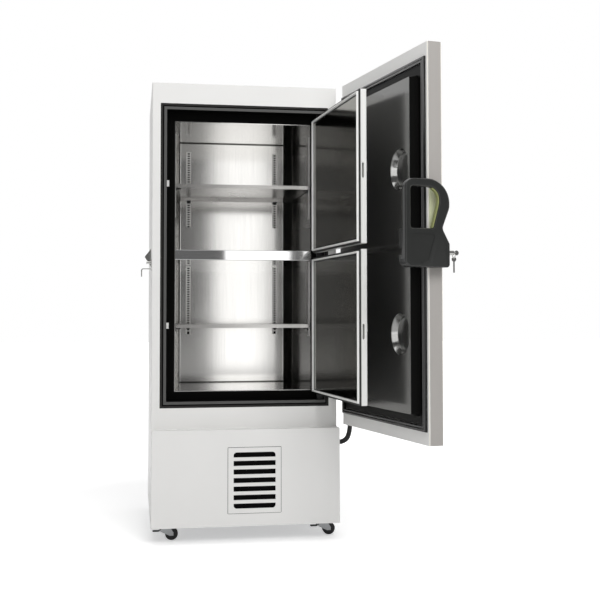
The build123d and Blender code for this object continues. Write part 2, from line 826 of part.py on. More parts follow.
# Finned condenser behind the filter
condenser_front = grille_back_y + filter_thickness + condenser_set_back
condenser_back = condenser_front + condenser_depth
fan_centre_z = panel_bottom + condenser_height / 2
condenser_xs = (grille_centre_x - condenser_width / 2, grille_centre_x + condenser_width / 2)
with BuildPart() as condenser:
    block(condenser_xs, (condenser_front, condenser_back), (panel_bottom, panel_bottom + condenser_height))
    fin_pitch = condenser_width / (condenser_fins + 1)
    with BuildSketch(front_view(condenser_front + fin_groove)):
        with Locations((grille_centre_x, panel_bottom + condenser_height / 2)):
            with GridLocations(fin_pitch, 0, condenser_fins, 1):
                Rectangle(fin_gap, condenser_height - 2 * fin_gap)
    extrude(amount=fin_groove + overcut, mode=Mode.SUBTRACT)
save(condenser.part, "condenser")

# Fan shroud on the back of the condenser with the bar that carries the motor
shroud_back = condenser_back + shroud_depth
with BuildPart() as fan_shroud:
    shroud_zs = (panel_bottom, panel_bottom + condenser_height)
    block(condenser_xs, (condenser_back, shroud_back), shroud_zs)
    block((condenser_xs[0] + shroud_sheet, condenser_xs[1] - shroud_sheet),
          (condenser_back - overcut, shroud_back - shroud_sheet),
          (shroud_zs[0] + shroud_sheet, shroud_zs[1] - shroud_sheet), Mode.SUBTRACT)
    with BuildSketch(front_view(shroud_back + overcut)):
        with Locations((grille_centre_x, fan_centre_z)):
            Circle(fan_hole_radius)
    extrude(amount=shroud_sheet + 2 * overcut, mode=Mode.SUBTRACT)
    block(condenser_xs, (shroud_back, shroud_back + motor_bar_thickness),
          (fan_centre_z - motor_bar_height / 2, fan_centre_z + motor_bar_height / 2))
    with BuildSketch(front_view(shroud_back + motor_bar_thickness + overcut)):
        with Locations((grille_centre_x, fan_centre_z)):
            Circle(motor_shaft_radius + shaft_hole_clear)
    extrude(amount=motor_bar_thickness + 2 * overcut, mode=Mode.SUBTRACT)
save(fan_shroud.part, "fan_shroud")

# Fan motor on the back of the bar, its shaft through it
motor_front = shroud_back + motor_bar_thickness
with BuildPart() as fan_motor:
    with BuildSketch(front_view(motor_front + motor_length)):
        with Locations((grille_centre_x, fan_centre_z)):
            Circle(motor_radius)
    extrude(amount=motor_length)
    chamfer(fan_motor.faces().sort_by(Axis.Y)[-1].edges(), bend_radius)
    with BuildSketch(front_view(motor_front)):
        with Locations((grille_centre_x, fan_centre_z)):
            Circle(motor_shaft_radius)
    extrude(amount=motor_bar_thickness + fan_set_back + fan_hub_length)
save(fan_motor.part, "fan_motor")

# Fan: hub on the shaft and twisted blades
hub_back = shroud_back - fan_set_back
hub_front = hub_back - fan_hub_length
with BuildPart() as fan_blades:
    with BuildSketch(front_view(hub_back)):
        with Locations((grille_centre_x, fan_centre_z)):
            Circle(fan_hub_radius)
    extrude(amount=fan_hub_length)
    blade_mid = (fan_radius + fan_hub_radius) / 2
    blade_length = fan_radius - fan_hub_radius + 2 * fan_blade_thickness
    hub_middle = Plane(origin=(grille_centre_x, (hub_front + hub_back) / 2, fan_centre_z),
                       x_dir=(1, 0, 0), z_dir=(0, -1, 0))
    with Locations(hub_middle):
        with PolarLocations(blade_mid - fan_blade_thickness, fan_blades_count):
            Box(blade_length, fan_blade_chord, fan_blade_thickness, rotation=(fan_blade_pitch, 0, 0))
    with BuildSketch(front_view(hub_back + overcut)):
        with Locations((grille_centre_x, fan_centre_z)):
            Circle(motor_shaft_radius + running_clearance)
    extrude(amount=fan_hub_length + 2 * overcut, mode=Mode.SUBTRACT)
save(fan_blades.part, "fan_blades")

# Hermetic compressors of the two cascade stages
with BuildPart() as compressors:
    for side in (-1, 1):
        with Locations((side * compressor_x, compressor_y, panel_bottom + compressor_foot / 2)):
            Box(2 * compressor_radius, compressor_radius, compressor_foot)
            Box(compressor_radius, 2 * compressor_radius, compressor_foot)
        with BuildSketch(plan_view(panel_bottom + compressor_foot)):
            with Locations((side * compressor_x, compressor_y)):
                Circle(compressor_radius)
        extrude(amount=compressor_height - compressor_foot)
    chamfer(compressors.faces().filter_by(Axis.Z).group_by(Axis.Z)[-1].edges(), compressor_dome)
save(compressors.part, "compressors")

# Cascade heat exchanger in its foamed case, at the back of the bay
with BuildPart() as cascade_exchanger:
    block((-exchanger_width / 2, exchanger_width / 2),
          (exchanger_y - exchanger_depth / 2, exchanger_y + exchanger_depth / 2),
          (panel_bottom, panel_bottom + exchanger_height))
    fillet(cascade_exchanger.edges().filter_by(Axis.Z), bend_radius)
save(cascade_exchanger.part, "cascade_exchanger")

# Refrigerant lines from the compressor domes to the heat exchanger
line_start_z = panel_bottom + compressor_height
line_high_z = line_start_z + line_rise
exchanger_side = exchanger_width / 2
with BuildPart() as refrigerant_lines:
    for side in (-1, 1):
        line_x = side * compressor_x
        route = [(line_x, compressor_y, line_start_z), (line_x, compressor_y, line_high_z),
                 (line_x, exchanger_y, line_high_z), (side * exchanger_side, exchanger_y, line_high_z)]
        with BuildLine() as line_path:
            FilletPolyline(*route, radius=line_bend)
        with BuildSketch(plan_view(line_start_z)):
            with Locations(route[0][:2]):
                RegularPolygon(line_radius, tube_sides)
        sweep(path=line_path.line)
save(refrigerant_lines.part, "refrigerant_lines")

# Electrical control box at the left of the bay
with BuildPart() as control_box:
    block(control_box_xs, (front_y + control_box_inset, front_y + control_box_inset + control_box_depth),
          (panel_bottom, panel_bottom + control_box_height))
    fillet(control_box.edges().filter_by(Axis.Z), bend_radius)
save(control_box.part, "control_box")

# Mains inlet on the rear cover
with BuildPart() as power_inlet:
    inlet_y = back_y + sheet
    with BuildSketch(front_view(inlet_y + inlet_depth)):
        with Locations((-inlet_x, inlet_z)):
            RectangleRounded(inlet_width, inlet_height, bend_radius)
    extrude(amount=inlet_depth)
    with BuildSketch(front_view(inlet_y + inlet_depth + overcut)):
        with Locations((-inlet_x, inlet_z)):
            RectangleRounded(inlet_width - 2 * bend_radius, inlet_height - 2 * bend_radius, bend_radius)
    extrude(amount=inlet_well + overcut, mode=Mode.SUBTRACT)
save(power_inlet.part, "power_inlet")

# Outer door: painted pan with a return border round the plug
door_flange_half = plug_half + plug_taper
with BuildPart(door_frame) as door_panel:
    with BuildSketch(swung(door_swing, plan_view(door_bottom))):
        with Locations((0, (door_front_y + door_inner_y) / 2)):
            RectangleRounded(2 * door_half, door_thickness, door_bend)
    extrude(amount=door_top - door_bottom)
    block((-door_half + sheet, door_half - sheet), (door_front_y + sheet, door_inner_y - sheet),
          (door_bottom + sheet, door_top - sheet), Mode.SUBTRACT)
    block((-door_flange_half, door_flange_half), (door_inner_y - sheet - overcut, door_inner_y + overcut),
          (plug_bottom - plug_taper, plug_top + plug_taper), Mode.SUBTRACT)
save(door_panel.part, "door_panel")

# Black plug frame that rises from the door's inner face, its flange out to the gasket
gasket_half = door_half - gasket_side_inset
gasket_top = door_top - door_border
gasket_bottom = door_bottom + gasket_bottom_inset
gasket_mid_z = (gasket_top + gasket_bottom) / 2
flange_inset = gasket_width + plug_flange_gap
plug_angle = degrees(atan2(plug_taper, plug_rise))
with BuildPart(door_frame) as door_plug_frame:
    with BuildSketch(swung(door_swing, front_view(door_inner_y))):
        with Locations((0, plug_mid_z)):
            RectangleRounded(2 * door_flange_half, plug_height + 2 * plug_taper, plug_radius)
    extrude(amount=-plug_rise + door_liner_sheet, taper=plug_angle)
    with BuildSketch(swung(door_swing, front_view(door_inner_y))):
        with Locations((0, gasket_mid_z)):
            Rectangle(2 * (gasket_half - flange_inset), gasket_top - gasket_bottom - 2 * flange_inset)
    extrude(amount=-plug_flange_thickness)
    with BuildSketch(swung(door_swing, front_view(door_inner_y - overcut))):
        with Locations((0, plug_mid_z)):
            RectangleRounded(2 * (plug_half - plug_wall), plug_height - 2 * plug_wall, plug_wall)
    extrude(amount=-plug_rise - overcut, mode=Mode.SUBTRACT)
save(door_plug_frame.part, "door_plug_frame")

# Stainless door liner with two scooped pockets that clear the inner door latches
pocket_edge_x = -plug_half + pocket_margin + plug_wall
pocket_centres = [z - pocket_drop for z in latch_heights]


def pocket(centre_z, grow):
    """A shallow cone cut straight at the free edge of the door and round towards the hinge."""
    depth = pocket_depth + grow
    middle = (pocket_edge_x + pocket_flat, plug_y - depth / 2, centre_z)
    floor_radius = pocket_radius - pocket_depth * tan(radians(pocket_taper))
    cone = Pos(*middle) * Rot(90, 0, 0) * Cone(pocket_radius + grow, floor_radius + grow, depth)
    beyond = Pos(pocket_edge_x - grow - pocket_radius, middle[1], centre_z) * Box(
        2 * pocket_radius, 2 * depth, 4 * pocket_radius)
    return cone - beyond


pocket_cups = [pocket(z, door_liner_sheet) for z in pocket_centres]
pocket_scoops = [pocket(z, 0) for z in pocket_centres]
pocket_hollows = [pocket(z, door_liner_sheet + core_clear) for z in pocket_centres]


with BuildPart(door_frame) as door_liner:
    with BuildSketch(swung(door_swing, front_view(plug_y))):
        with Locations((0, plug_mid_z)):
            RectangleRounded(2 * plug_half, plug_height, plug_wall)
    extrude(amount=door_liner_sheet)
    add(pocket_cups)
    add(pocket_scoops, mode=Mode.SUBTRACT)
save(door_liner.part, "door_liner")

# Foam core of the door, hollowed round the pockets
with BuildPart(door_frame) as door_core:
    block((-door_half + sheet, door_half - sheet), (door_front_y + sheet, door_inner_y - sheet),
          (door_bottom + sheet, door_top - sheet))
    with BuildSketch(swung(door_swing, front_view(plug_y - door_liner_sheet))):
        with Locations((0, plug_mid_z)):
            RectangleRounded(2 * (plug_half - plug_wall), plug_height - 2 * plug_wall, plug_wall)
    extrude(amount=plug_rise - door_liner_sheet + sheet)
    add(pocket_hollows, mode=Mode.SUBTRACT)
save(door_core.part, "door_core")

# Magnetic door gasket on the painted border
with BuildPart(door_frame) as door_gasket:
    with BuildSketch(swung(door_swing, front_view(front_y - gasket_clear))):
        with Locations((0, gasket_mid_z)):
            RectangleRounded(2 * gasket_half, gasket_top - gasket_bottom, plug_wall)
            Rectangle(2 * (gasket_half - gasket_width), gasket_top - gasket_bottom - 2 * gasket_width,
                      mode=Mode.SUBTRACT)
    extrude(amount=door_seal_gap - gasket_clear)
save(door_gasket.part, "door_gasket")

# Door half of the outer hinges
leaf_mid_y = (door_front_y + door_inner_y) / 2
with BuildPart(door_frame) as door_hinge_leaves:
    for z in hinge_heights:
        low = z + knuckle_gap
        block((door_half, door_half + hinge_plate),
              (leaf_mid_y - leaf_width / 2, leaf_mid_y + leaf_width / 2),
              (low, low + leaf_height))
        block((door_half, door_axis_x), (door_axis_y - knuckle_radius, door_axis_y + knuckle_radius),
              (low, low + knuckle_height))
        with Locations((door_axis_x, door_axis_y, low + knuckle_height / 2)):
            Cylinder(knuckle_radius, knuckle_height)
            Cylinder(hinge_pin_radius + running_clearance, knuckle_height + overcut, mode=Mode.SUBTRACT)
save(door_hinge_leaves.part, "door_hinge_leaves")

# Display and key panel on the door front
with BuildPart(door_frame) as control_panel:
    with BuildSketch(swung(door_swing, front_view(door_front_y))):
        with Locations((0, control_centre_z)):
            RectangleRounded(control_width, control_height, control_rim)
    extrude(amount=control_thickness)
    with BuildSketch(swung(door_swing, front_view(door_front_y - control_thickness + control_recess))):
        with Locations((0, control_centre_z)):
            RectangleRounded(control_width - 2 * control_rim, control_height - 2 * control_rim,
                             control_rim / 2)
    extrude(amount=control_recess + overcut, mode=Mode.SUBTRACT)
save(control_panel.part, "control_panel")

# Handle base: long pale plate on the free edge behind the loop, with the pivot pin
handle_x = -door_half - handle_near
pivot_y = (door_front_y + door_inner_y) / 2
body_far_x = -door_half - handle_clear
with BuildPart(door_frame) as handle_base:
    with BuildSketch(swung(door_swing, side_view(-door_half))):
        with Locations((pivot_y, handle_pivot_z + (handle_base_above - handle_base_below) / 2)):
            RectangleRounded(handle_base_width, handle_base_above + handle_base_below, bend_radius)
    extrude(amount=-handle_base_thickness)
    with BuildSketch(swung(door_swing, side_view(-door_half))):
        with Locations((pivot_y, handle_pivot_z)):
            Circle(handle_pivot_radius)
    extrude(amount=-handle_near + handle_cavity_wall)
save(handle_base.part, "handle_base")


def handle_outline():
    """Outer profile of the handle in Y and Z: straight back, round loop, waist and body."""
    rear = front_y + handle_rear
    corners = [(rear, handle_bottom_z), (rear, handle_top_z), (door_front_y, handle_top_z),
               (door_front_y, handle_pivot_z + handle_neck_above),
               (front_y - handle_waist, handle_body_top_z),
               (door_front_y, handle_pivot_z + handle_shoulder_above), (door_front_y, handle_bottom_z)]
    with BuildLine() as profile:
        FilletPolyline(*corners, radius=handle_round, close=True)
    make_face(profile.edges())


def loop_opening(inset, mode=Mode.ADD):
    """The hand hole of the loop in Y and Z, shrunk by an inset."""
    rear = front_y + loop_rear
    high = handle_top_z - loop_roof
    corners = [(rear, handle_body_top_z), (rear, high), (front_y - loop_front, high),
               (front_y - loop_front, handle_pivot_z + loop_neck_above),
               (front_y - loop_toe, handle_body_top_z)]
    with BuildLine() as profile:
        FilletPolyline(*corners, radius=loop_round, close=True)
        if inset:
            offset(amount=-inset, mode=Mode.REPLACE)
    make_face(profile.edges(), mode=mode)


def rib_y(z, side):
    """Y of one edge of the slanted rib that carries the loop's front arm down the body."""
    return front_y - handle_rib_top + handle_rib_slope * (handle_body_top_z - z) + side * handle_rib_half


def handle_panels():
    """The two sunk panels of the body, one on each side of the rib."""
    high = handle_pivot_z + handle_panel_above
    low = handle_pivot_z - handle_panel_below
    rear = front_y + handle_panel_rear
    with BuildLine() as inner:
        FilletPolyline((rear, low), (rear, high), (rib_y(high, 1), high), (rib_y(low, 1), low),
                       radius=handle_panel_round, close=True)
    make_face(inner.edges())
    base = handle_bottom_z - overcut
    fore = door_front_y - overcut
    with BuildLine() as outer:
        Polyline((rib_y(base, -1), base), (rib_y(handle_body_top_z, -1), handle_body_top_z),
                 (fore, handle_body_top_z), (fore, base), close=True)
    make_face(outer.edges())


# Handle lever: hand loop, latch body with its striker cavity and the hook inside
loop_far_x = handle_x + handle_loop_thickness
with BuildPart(door_frame) as handle_lever:
    with BuildSketch(swung(door_swing, side_view(handle_x))):
        handle_outline()
        loop_opening(0, Mode.SUBTRACT)
    extrude(amount=handle_loop_thickness)
    near_face = handle_lever.faces().sort_by(Axis((0, 0, 0), door_frame.x_dir))[0]
    chamfer(near_face.edges(), handle_edge)
    with BuildSketch(swung(door_swing, side_view(handle_x - overcut))):
        handle_panels()
        with Locations((front_y + handle_hole_back, handle_pivot_z - handle_hole_below)):
            Circle(handle_hole_radius)
    extrude(amount=handle_panel_depth + overcut, mode=Mode.SUBTRACT)
    with BuildSketch(swung(door_swing, side_view(loop_far_x))):
        handle_outline()
        with Locations((front_y, handle_body_top_z + cabinet_height / 2)):
            Rectangle(cabinet_width, cabinet_height, mode=Mode.SUBTRACT)
    extrude(amount=body_far_x - loop_far_x)
    cavity_x = handle_x + handle_cavity_wall
    cavity_y = front_y - handle_cavity_front
    cavity_back = front_y + handle_rear - handle_rear_wall
    block((cavity_x, body_far_x + overcut), (cavity_y, cavity_back),
          (handle_bottom_z + handle_cavity_floor, handle_body_top_z - handle_cavity_roof), Mode.SUBTRACT)
    notch_half = striker_head_radius + handle_notch_room
    block((striker_end_x - handle_notch_room, body_far_x + overcut),
          (cavity_back - overcut, front_y + handle_rear + overcut),
          (striker_pin_z - notch_half, striker_pin_z + notch_half), Mode.SUBTRACT)
    hook_mid_x = (striker_end_x + striker_head_length - half_width - striker_plate) / 2
    hook_xs = (hook_mid_x - hook_thickness / 2, hook_mid_x + hook_thickness / 2)
    hook_roof = handle_body_top_z - handle_cavity_roof
    jaw_front = pin_y + striker_pin_radius + striker_pin_radius
    block(hook_xs, (cavity_y, jaw_front + hook_jaw_length), (hook_roof - hook_arm_drop, hook_roof))
    block(hook_xs, (jaw_front, jaw_front + hook_jaw_length), (hook_roof - hook_jaw_drop, hook_roof))
    with BuildSketch(swung(door_swing, side_view(body_far_x + overcut))):
        with Locations((pivot_y, handle_pivot_z)):
            Circle(handle_pivot_radius + running_clearance)
    extrude(amount=-handle_near + handle_cavity_wall, mode=Mode.SUBTRACT)
    with BuildSketch(swung(door_swing, front_view(door_front_y + lock_depth))):
        with Locations((handle_x + lock_inset, lock_z)):
            Circle(lock_radius + running_clearance)
    extrude(amount=lock_depth + overcut, mode=Mode.SUBTRACT)
save(handle_lever.part, "handle_lever")

# Soft lining on the pulling side of the loop
with BuildPart(door_frame) as handle_grip:
    with BuildSketch(swung(door_swing, side_view(handle_x + handle_edge / 2))):
        loop_opening(grip_clear)
        loop_opening(grip_clear + grip_thickness, Mode.SUBTRACT)
        with Locations((front_y + cabinet_depth / 2, handle_top_z)):
            Rectangle(cabinet_depth, cabinet_height, mode=Mode.SUBTRACT)
    extrude(amount=handle_loop_thickness - handle_edge)
save(handle_grip.part, "handle_grip")

# Lock barrel in the front of the handle body, with the key standing in it
lock_x = handle_x + lock_inset
barrel_front = door_front_y + lock_depth - fork_clear - lock_length
neck_front = barrel_front - key_neck_length
with BuildPart(door_frame) as lock_barrel:
    with BuildSketch(swung(door_swing, front_view(barrel_front + lock_length))):
        with Locations((lock_x, lock_z)):
            Circle(lock_radius)
    extrude(amount=lock_length)
    with BuildSketch(swung(door_swing, front_view(barrel_front))):
        with Locations((lock_x, lock_z)):
            Circle(key_neck_radius)
    extrude(amount=key_neck_length)
    with BuildSketch(swung(door_swing, side_view(lock_x - key_thickness / 2))):
        with Locations((neck_front - key_bow_radius + key_wire, lock_z)):
            RegularPolygon(key_bow_radius, key_sides)
    extrude(amount=key_thickness)
save(lock_barrel.part, "lock_barrel")

# Second key on a ring that hangs from the neck of the first
ring_y = barrel_front - key_neck_length / 2
ring_z = lock_z - (key_ring_radius - key_wire - key_neck_radius - key_hang_gap)
ring_low = ring_z - key_ring_radius
bow_z = ring_low - key_bow_radius + 2 * key_hole_radius
with BuildPart(door_frame) as hanging_key:
    with BuildSketch(swung(door_swing, front_view(ring_y + key_wire))):
        with Locations((lock_x, ring_z)):
            RegularPolygon(key_ring_radius + key_wire, key_sides)
            RegularPolygon(key_ring_radius - key_wire, key_sides, major_radius=False, mode=Mode.SUBTRACT)
    extrude(amount=2 * key_wire)
    with BuildSketch(swung(door_swing, side_view(lock_x - key_thickness / 2))):
        with Locations((ring_y, bow_z)):
            RegularPolygon(key_bow_radius, key_sides)
        with Locations((ring_y, bow_z - key_bow_radius - key_blade_length / 2)):
            Rectangle(key_blade_width, key_blade_length + key_bow_radius)
        with Locations((ring_y, ring_low)):
            RegularPolygon(key_hole_radius, key_sides // 2, major_radius=False, mode=Mode.SUBTRACT)
    extrude(amount=key_thickness)
save(hanging_key.part, "hanging_key")

# Outer casters share these heights
plate_low = base_low - caster_plate_thickness
crown_high = plate_low - fork_clear
crown_low = crown_high - crown_thickness
leg_inner = wheel_width / 2 + fork_wheel_gap
leg_outer = leg_inner + fork_sheet
front_caster_y = front_y + caster_front_inset
rear_caster_y = back_y - caster_rear_inset


def caster_leg(reach, top, low_corner):
    """Side outline of a fork leg, drawn from the swivel axis towards the axle."""
    with BuildLine() as outline:
        Polyline((-crown_radius, top), (crown_radius, top),
                 (reach + 2 * axle_radius, wheel_radius + axle_radius),
                 (reach + 2 * axle_radius, wheel_radius - 2 * axle_radius),
                 (reach - 2 * axle_radius, wheel_radius - 2 * axle_radius),
                 (-crown_radius, low_corner), close=True)
    make_face(outline.edges())


def caster_fork(ground, reach, top, low_corner):
    """Crown, two legs and axle pin; the ground plane's Y runs along the axle."""
    axle_way = ground.y_dir
    for side in (-1, 1):
        start = ground.origin + axle_way * (side * (leg_inner + leg_outer) / 2 + fork_sheet / 2)
        with BuildSketch(Plane(start, x_dir=ground.x_dir, z_dir=-axle_way)) as leg:
            caster_leg(reach, top, low_corner)
        extrude(leg.sketch, amount=fork_sheet)
    end = ground.origin + axle_way * leg_outer
    with BuildSketch(Plane(end, x_dir=ground.x_dir, z_dir=-axle_way)) as axle:
        with Locations((reach, wheel_radius)):
            Circle(axle_radius)
    extrude(axle.sketch, amount=2 * leg_outer)
    with BuildSketch(Plane(ground.origin + Vector(0, 0, crown_low), x_dir=ground.x_dir)) as crown:
        RegularPolygon(crown_radius, crown_sides)
    extrude(crown.sketch, amount=top - crown_low)


def caster_plate(ground):
    """Square top plate under the base."""
    with BuildSketch(Plane(ground.origin + Vector(0, 0, plate_low))) as square:
        Rectangle(caster_plate_size, caster_plate_size)
    extrude(square.sketch, amount=caster_plate_thickness)


front_grounds = [Plane((x, front_caster_y, 0)) for x in (-caster_x, caster_x)]
rear_grounds = [Plane((x, rear_caster_y, 0), x_dir=(0, 1, 0)) for x in (-caster_x, caster_x)]
leg_corner = pedal_pivot_z - 3 * pedal_pin_radius

# Caster mounts under the base: bored plates in front, rigid brackets behind
with BuildPart() as caster_mounts:
    for ground in front_grounds:
        caster_plate(ground)
        with Locations(ground.origin + Vector(0, 0, plate_low)):
            Cylinder(kingpin_radius + running_clearance, 4 * caster_plate_thickness, mode=Mode.SUBTRACT)
    for ground in rear_grounds:
        caster_plate(ground)
        caster_fork(ground, 0, plate_low, leg_corner)
save(caster_mounts.part, "caster_mounts")

for name, ground in zip(("left", "right"), front_grounds):
    x = ground.origin.X
    # Swivel fork of a front caster
    with BuildPart() as fork:
        caster_fork(ground, caster_trail, crown_high, leg_corner)
        with Locations((x, front_caster_y, (crown_high + base_low - fork_clear) / 2)):
            Cylinder(kingpin_radius, base_low - fork_clear - crown_high)
        with BuildSketch(front_view(front_caster_y + leg_outer + overcut)):
            with Locations((x - pedal_pivot_back, pedal_pivot_z)):
                Circle(pedal_pin_radius + running_clearance)
        extrude(amount=2 * leg_outer + 2 * overcut, mode=Mode.SUBTRACT)
    save(fork.part, f"caster_fork_{name}")

    # Brake pedal of a front caster, on a cross pin between the fork legs
    with BuildPart() as pedal:
        with BuildSketch(front_view(front_caster_y + pedal_width / 2)):
            with BuildLine():
                Polyline((x - pedal_pivot_back + pedal_thickness, pedal_pivot_z + pedal_thickness),
                         (x - pedal_pivot_back + pedal_thickness, pedal_pivot_z - pedal_thickness),
                         (x - crown_radius - pedal_thickness, pedal_pivot_z - 2 * pedal_thickness),
                         (x - pedal_reach, pedal_pivot_z - 2 * pedal_thickness),
                         (x - pedal_reach, pedal_pivot_z - pedal_thickness),
                         (x - crown_radius - pedal_thickness, pedal_pivot_z - pedal_thickness), close=True)
            make_face()
        extrude(amount=pedal_width)
        with BuildSketch(front_view(front_caster_y + leg_outer)):
            with Locations((x - pedal_pivot_back, pedal_pivot_z)):
                Circle(pedal_pin_radius)
        extrude(amount=2 * leg_outer)
    save(pedal.part, f"brake_pedal_{name}")

wheel_hubs = []
for place, grounds, reach in (("front", front_grounds, caster_trail), ("rear", rear_grounds, 0)):
    for name, ground in zip(("left", "right"), grounds):
        middle = ground.origin + ground.x_dir * reach + Vector(0, 0, wheel_radius)
        wheel_hubs.append((f"{place}_{name}", Plane(middle, x_dir=ground.x_dir, z_dir=-ground.y_dir)))
for name, hub in wheel_hubs:
    # Caster wheel: tread ring and hub with a running bore
    with BuildPart() as wheel:
        with BuildSketch(hub.offset(-wheel_width / 2)):
            Circle(wheel_radius)
            Circle(axle_radius + running_clearance, mode=Mode.SUBTRACT)
        extrude(amount=wheel_width)
    save(wheel.part, f"wheel_{name}")

for level, low, high in inner_levels:
    mid = (low + high) / 2
    seal_inset = inner_border + inner_gasket_width
    skin_inset = seal_inset + inner_skin_margin
    skin_xs = (inner_free_x + skin_inset, inner_hinge_x - skin_inset)
    skin_zs = (low + skin_inset, high - skin_inset)

    # White inner door leaf, bored for its pins and slotted for the latch cam
    with BuildPart(inner_frame) as leaf:
        block((inner_free_x, inner_hinge_x), (inner_front_y, inner_rear_y), (low, high))
        fillet(leaf.edges().filter_by(Axis.Z), inner_edge)
        block(skin_xs, (inner_rear_y - skin_recess, inner_rear_y + overcut), skin_zs, Mode.SUBTRACT)
        for z in (low, high):
            with Locations((inner_axis_x, inner_axis_y, z)):
                Cylinder(inner_pin_radius + running_clearance, 2 * inner_pin_depth, mode=Mode.SUBTRACT)
        cam_ys = (cam_mid_y - cam_thickness / 2 - cam_room, cam_mid_y + cam_thickness / 2 + cam_room)
        block((inner_free_x - overcut, latch_x + cam_width), cam_ys,
              (mid - cam_length - cam_room, mid + cam_width), Mode.SUBTRACT)
        with BuildSketch(swung(inner_swing, front_view(cam_mid_y))):
            with Locations((latch_x, mid)):
                Circle(latch_shaft_radius + running_clearance)
        extrude(amount=cam_setback + overcut, mode=Mode.SUBTRACT)
    save(leaf.part, f"inner_door_{level}")

    # Stainless skin on the cold side
    with BuildPart(inner_frame) as skin:
        block(skin_xs, (inner_rear_y - skin_recess, inner_rear_y - skin_recess + skin_sheet), skin_zs)
    save(skin.part, f"inner_skin_{level}")

    # Seal round the skin that meets the landing
    with BuildPart(inner_frame) as seal:
        seal_ys = (inner_rear_y, landing_y - inner_seal_clear)
        block((inner_free_x + inner_border, inner_hinge_x - inner_border), seal_ys,
              (low + inner_border, high - inner_border))
        block((inner_free_x + seal_inset, inner_hinge_x - seal_inset),
              (seal_ys[0] - overcut, seal_ys[1] + overcut),
              (low + seal_inset, high - seal_inset), Mode.SUBTRACT)
        meeting_face = seal.faces().sort_by(Axis((0, 0, 0), inner_frame.y_dir))[-1]
        chamfer(meeting_face.edges(), inner_seal_ease)
    save(seal.part, f"inner_seal_{level}")

    # Turn latch: lever outside, shaft through the leaf and cam in the edge slot
    with BuildPart(inner_frame) as latch:
        lever_back = inner_front_y - latch_lever_gap
        with BuildSketch(swung(inner_swing, front_view(cam_mid_y - cam_thickness / 2))):
            with Locations((latch_x, mid)):
                Circle(latch_shaft_radius)
        extrude(amount=cam_mid_y - cam_thickness / 2 - lever_back)
        with BuildSketch(swung(inner_swing, front_view(lever_back))):
            with Locations((latch_x, mid)):
                SlotOverall(latch_lever_length, latch_lever_width, rotation=90)
        extrude(amount=latch_lever_thickness)
        with BuildSketch(swung(inner_swing, front_view(cam_mid_y + cam_thickness / 2))):
            with Locations((latch_x, mid - cam_length / 2 + cam_width / 4)):
                SlotOverall(cam_length + cam_width / 2, cam_width, rotation=90)
        extrude(amount=cam_thickness)
    save(latch.part, f"inner_latch_{level}")

# Gland on the hinge edge of the door, where the harness hose ends
gland_y = front_y - gland_forward
gland_low = door_bottom + gland_bottom_gap
with BuildPart(door_frame) as harness_gland:
    block((door_half, gland_x), (gland_y - hose_radius, gland_y + hose_radius),
          (gland_low, gland_low + gland_height))
    with Locations((gland_x, gland_y, gland_low + gland_height / 2)):
        Cylinder(hose_radius + gland_wall, gland_height)
save(harness_gland.part, "harness_gland")

# Corrugated harness hose between the bay and the door gland
gland_place = door_swing * Pos(gland_x, gland_y, 0)
hose_top_x = gland_place.position.X
hose_top_y = gland_place.position.Y
hose_points = [
    Vector(half_width, front_y + hose_start_back, hose_start_z),
    Vector(half_width + hose_reach, front_y + hose_start_back, hose_start_z),
    Vector(hose_top_x, hose_top_y, hose_turn_z),
    Vector(hose_top_x, hose_top_y, gland_low - hose_gap),
]
hose_runs = [b - a for a, b in zip(hose_points, hose_points[1:])]
hose_radii = []
for before, after in zip(hose_runs, hose_runs[1:]):
    turn = before.get_angle(after)
    hose_radii.append(hose_turn_share * min(before.length, after.length) / tan(radians(turn / 2)))
print("hose bend radii", [round(r, 1) for r in hose_radii])
with BuildPart() as door_harness:
    with BuildLine() as hose_path:
        FilletPolyline(*hose_points, radius=hose_radii)
    with BuildSketch(Plane(origin=hose_points[0], z_dir=hose_runs[0])):
        RegularPolygon(hose_radius, tube_sides)
    sweep(path=hose_path.line)
save(door_harness.part, "door_harness")
hose_length = sum(edge.length for edge in hose_path.edges())
print("hose length", round(hose_length, 1), "volume", round(door_harness.part.volume))
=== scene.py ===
"""Looks of the upright ultra low temperature freezer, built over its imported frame."""

import math

import bmesh
import bpy
from mathutils import Matrix, Vector


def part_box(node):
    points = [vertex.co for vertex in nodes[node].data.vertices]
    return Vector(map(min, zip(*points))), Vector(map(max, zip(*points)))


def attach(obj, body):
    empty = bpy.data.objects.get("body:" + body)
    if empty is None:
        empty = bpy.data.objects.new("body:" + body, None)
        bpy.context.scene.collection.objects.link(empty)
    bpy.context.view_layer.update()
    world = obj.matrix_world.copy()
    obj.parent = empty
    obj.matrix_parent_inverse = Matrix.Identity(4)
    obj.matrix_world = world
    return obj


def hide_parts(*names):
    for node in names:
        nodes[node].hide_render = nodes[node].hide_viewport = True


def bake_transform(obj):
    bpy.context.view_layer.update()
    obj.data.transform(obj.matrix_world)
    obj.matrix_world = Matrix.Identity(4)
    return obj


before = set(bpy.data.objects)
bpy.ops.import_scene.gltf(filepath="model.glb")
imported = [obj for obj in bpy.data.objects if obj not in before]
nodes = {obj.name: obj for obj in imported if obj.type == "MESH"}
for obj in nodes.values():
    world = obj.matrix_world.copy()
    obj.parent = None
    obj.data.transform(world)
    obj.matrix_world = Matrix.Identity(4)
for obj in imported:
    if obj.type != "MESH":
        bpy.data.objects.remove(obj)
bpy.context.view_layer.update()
scene = bpy.context.scene

# Places and directions that several pieces share, with the doors open
FRONT_Y = -0.385
BACK_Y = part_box("shelf_standards")[1][1]
DOOR_AXIS = Vector((0.428, FRONT_Y - 0.033, 0))
DOOR_OPEN = math.radians(101.1)
LEAF_OPEN = math.radians(95.7)


def face_way(opening):
    """Direction in which the inner face of a door looks when it is open by an angle."""
    return -math.sin(opening), math.cos(opening), 0


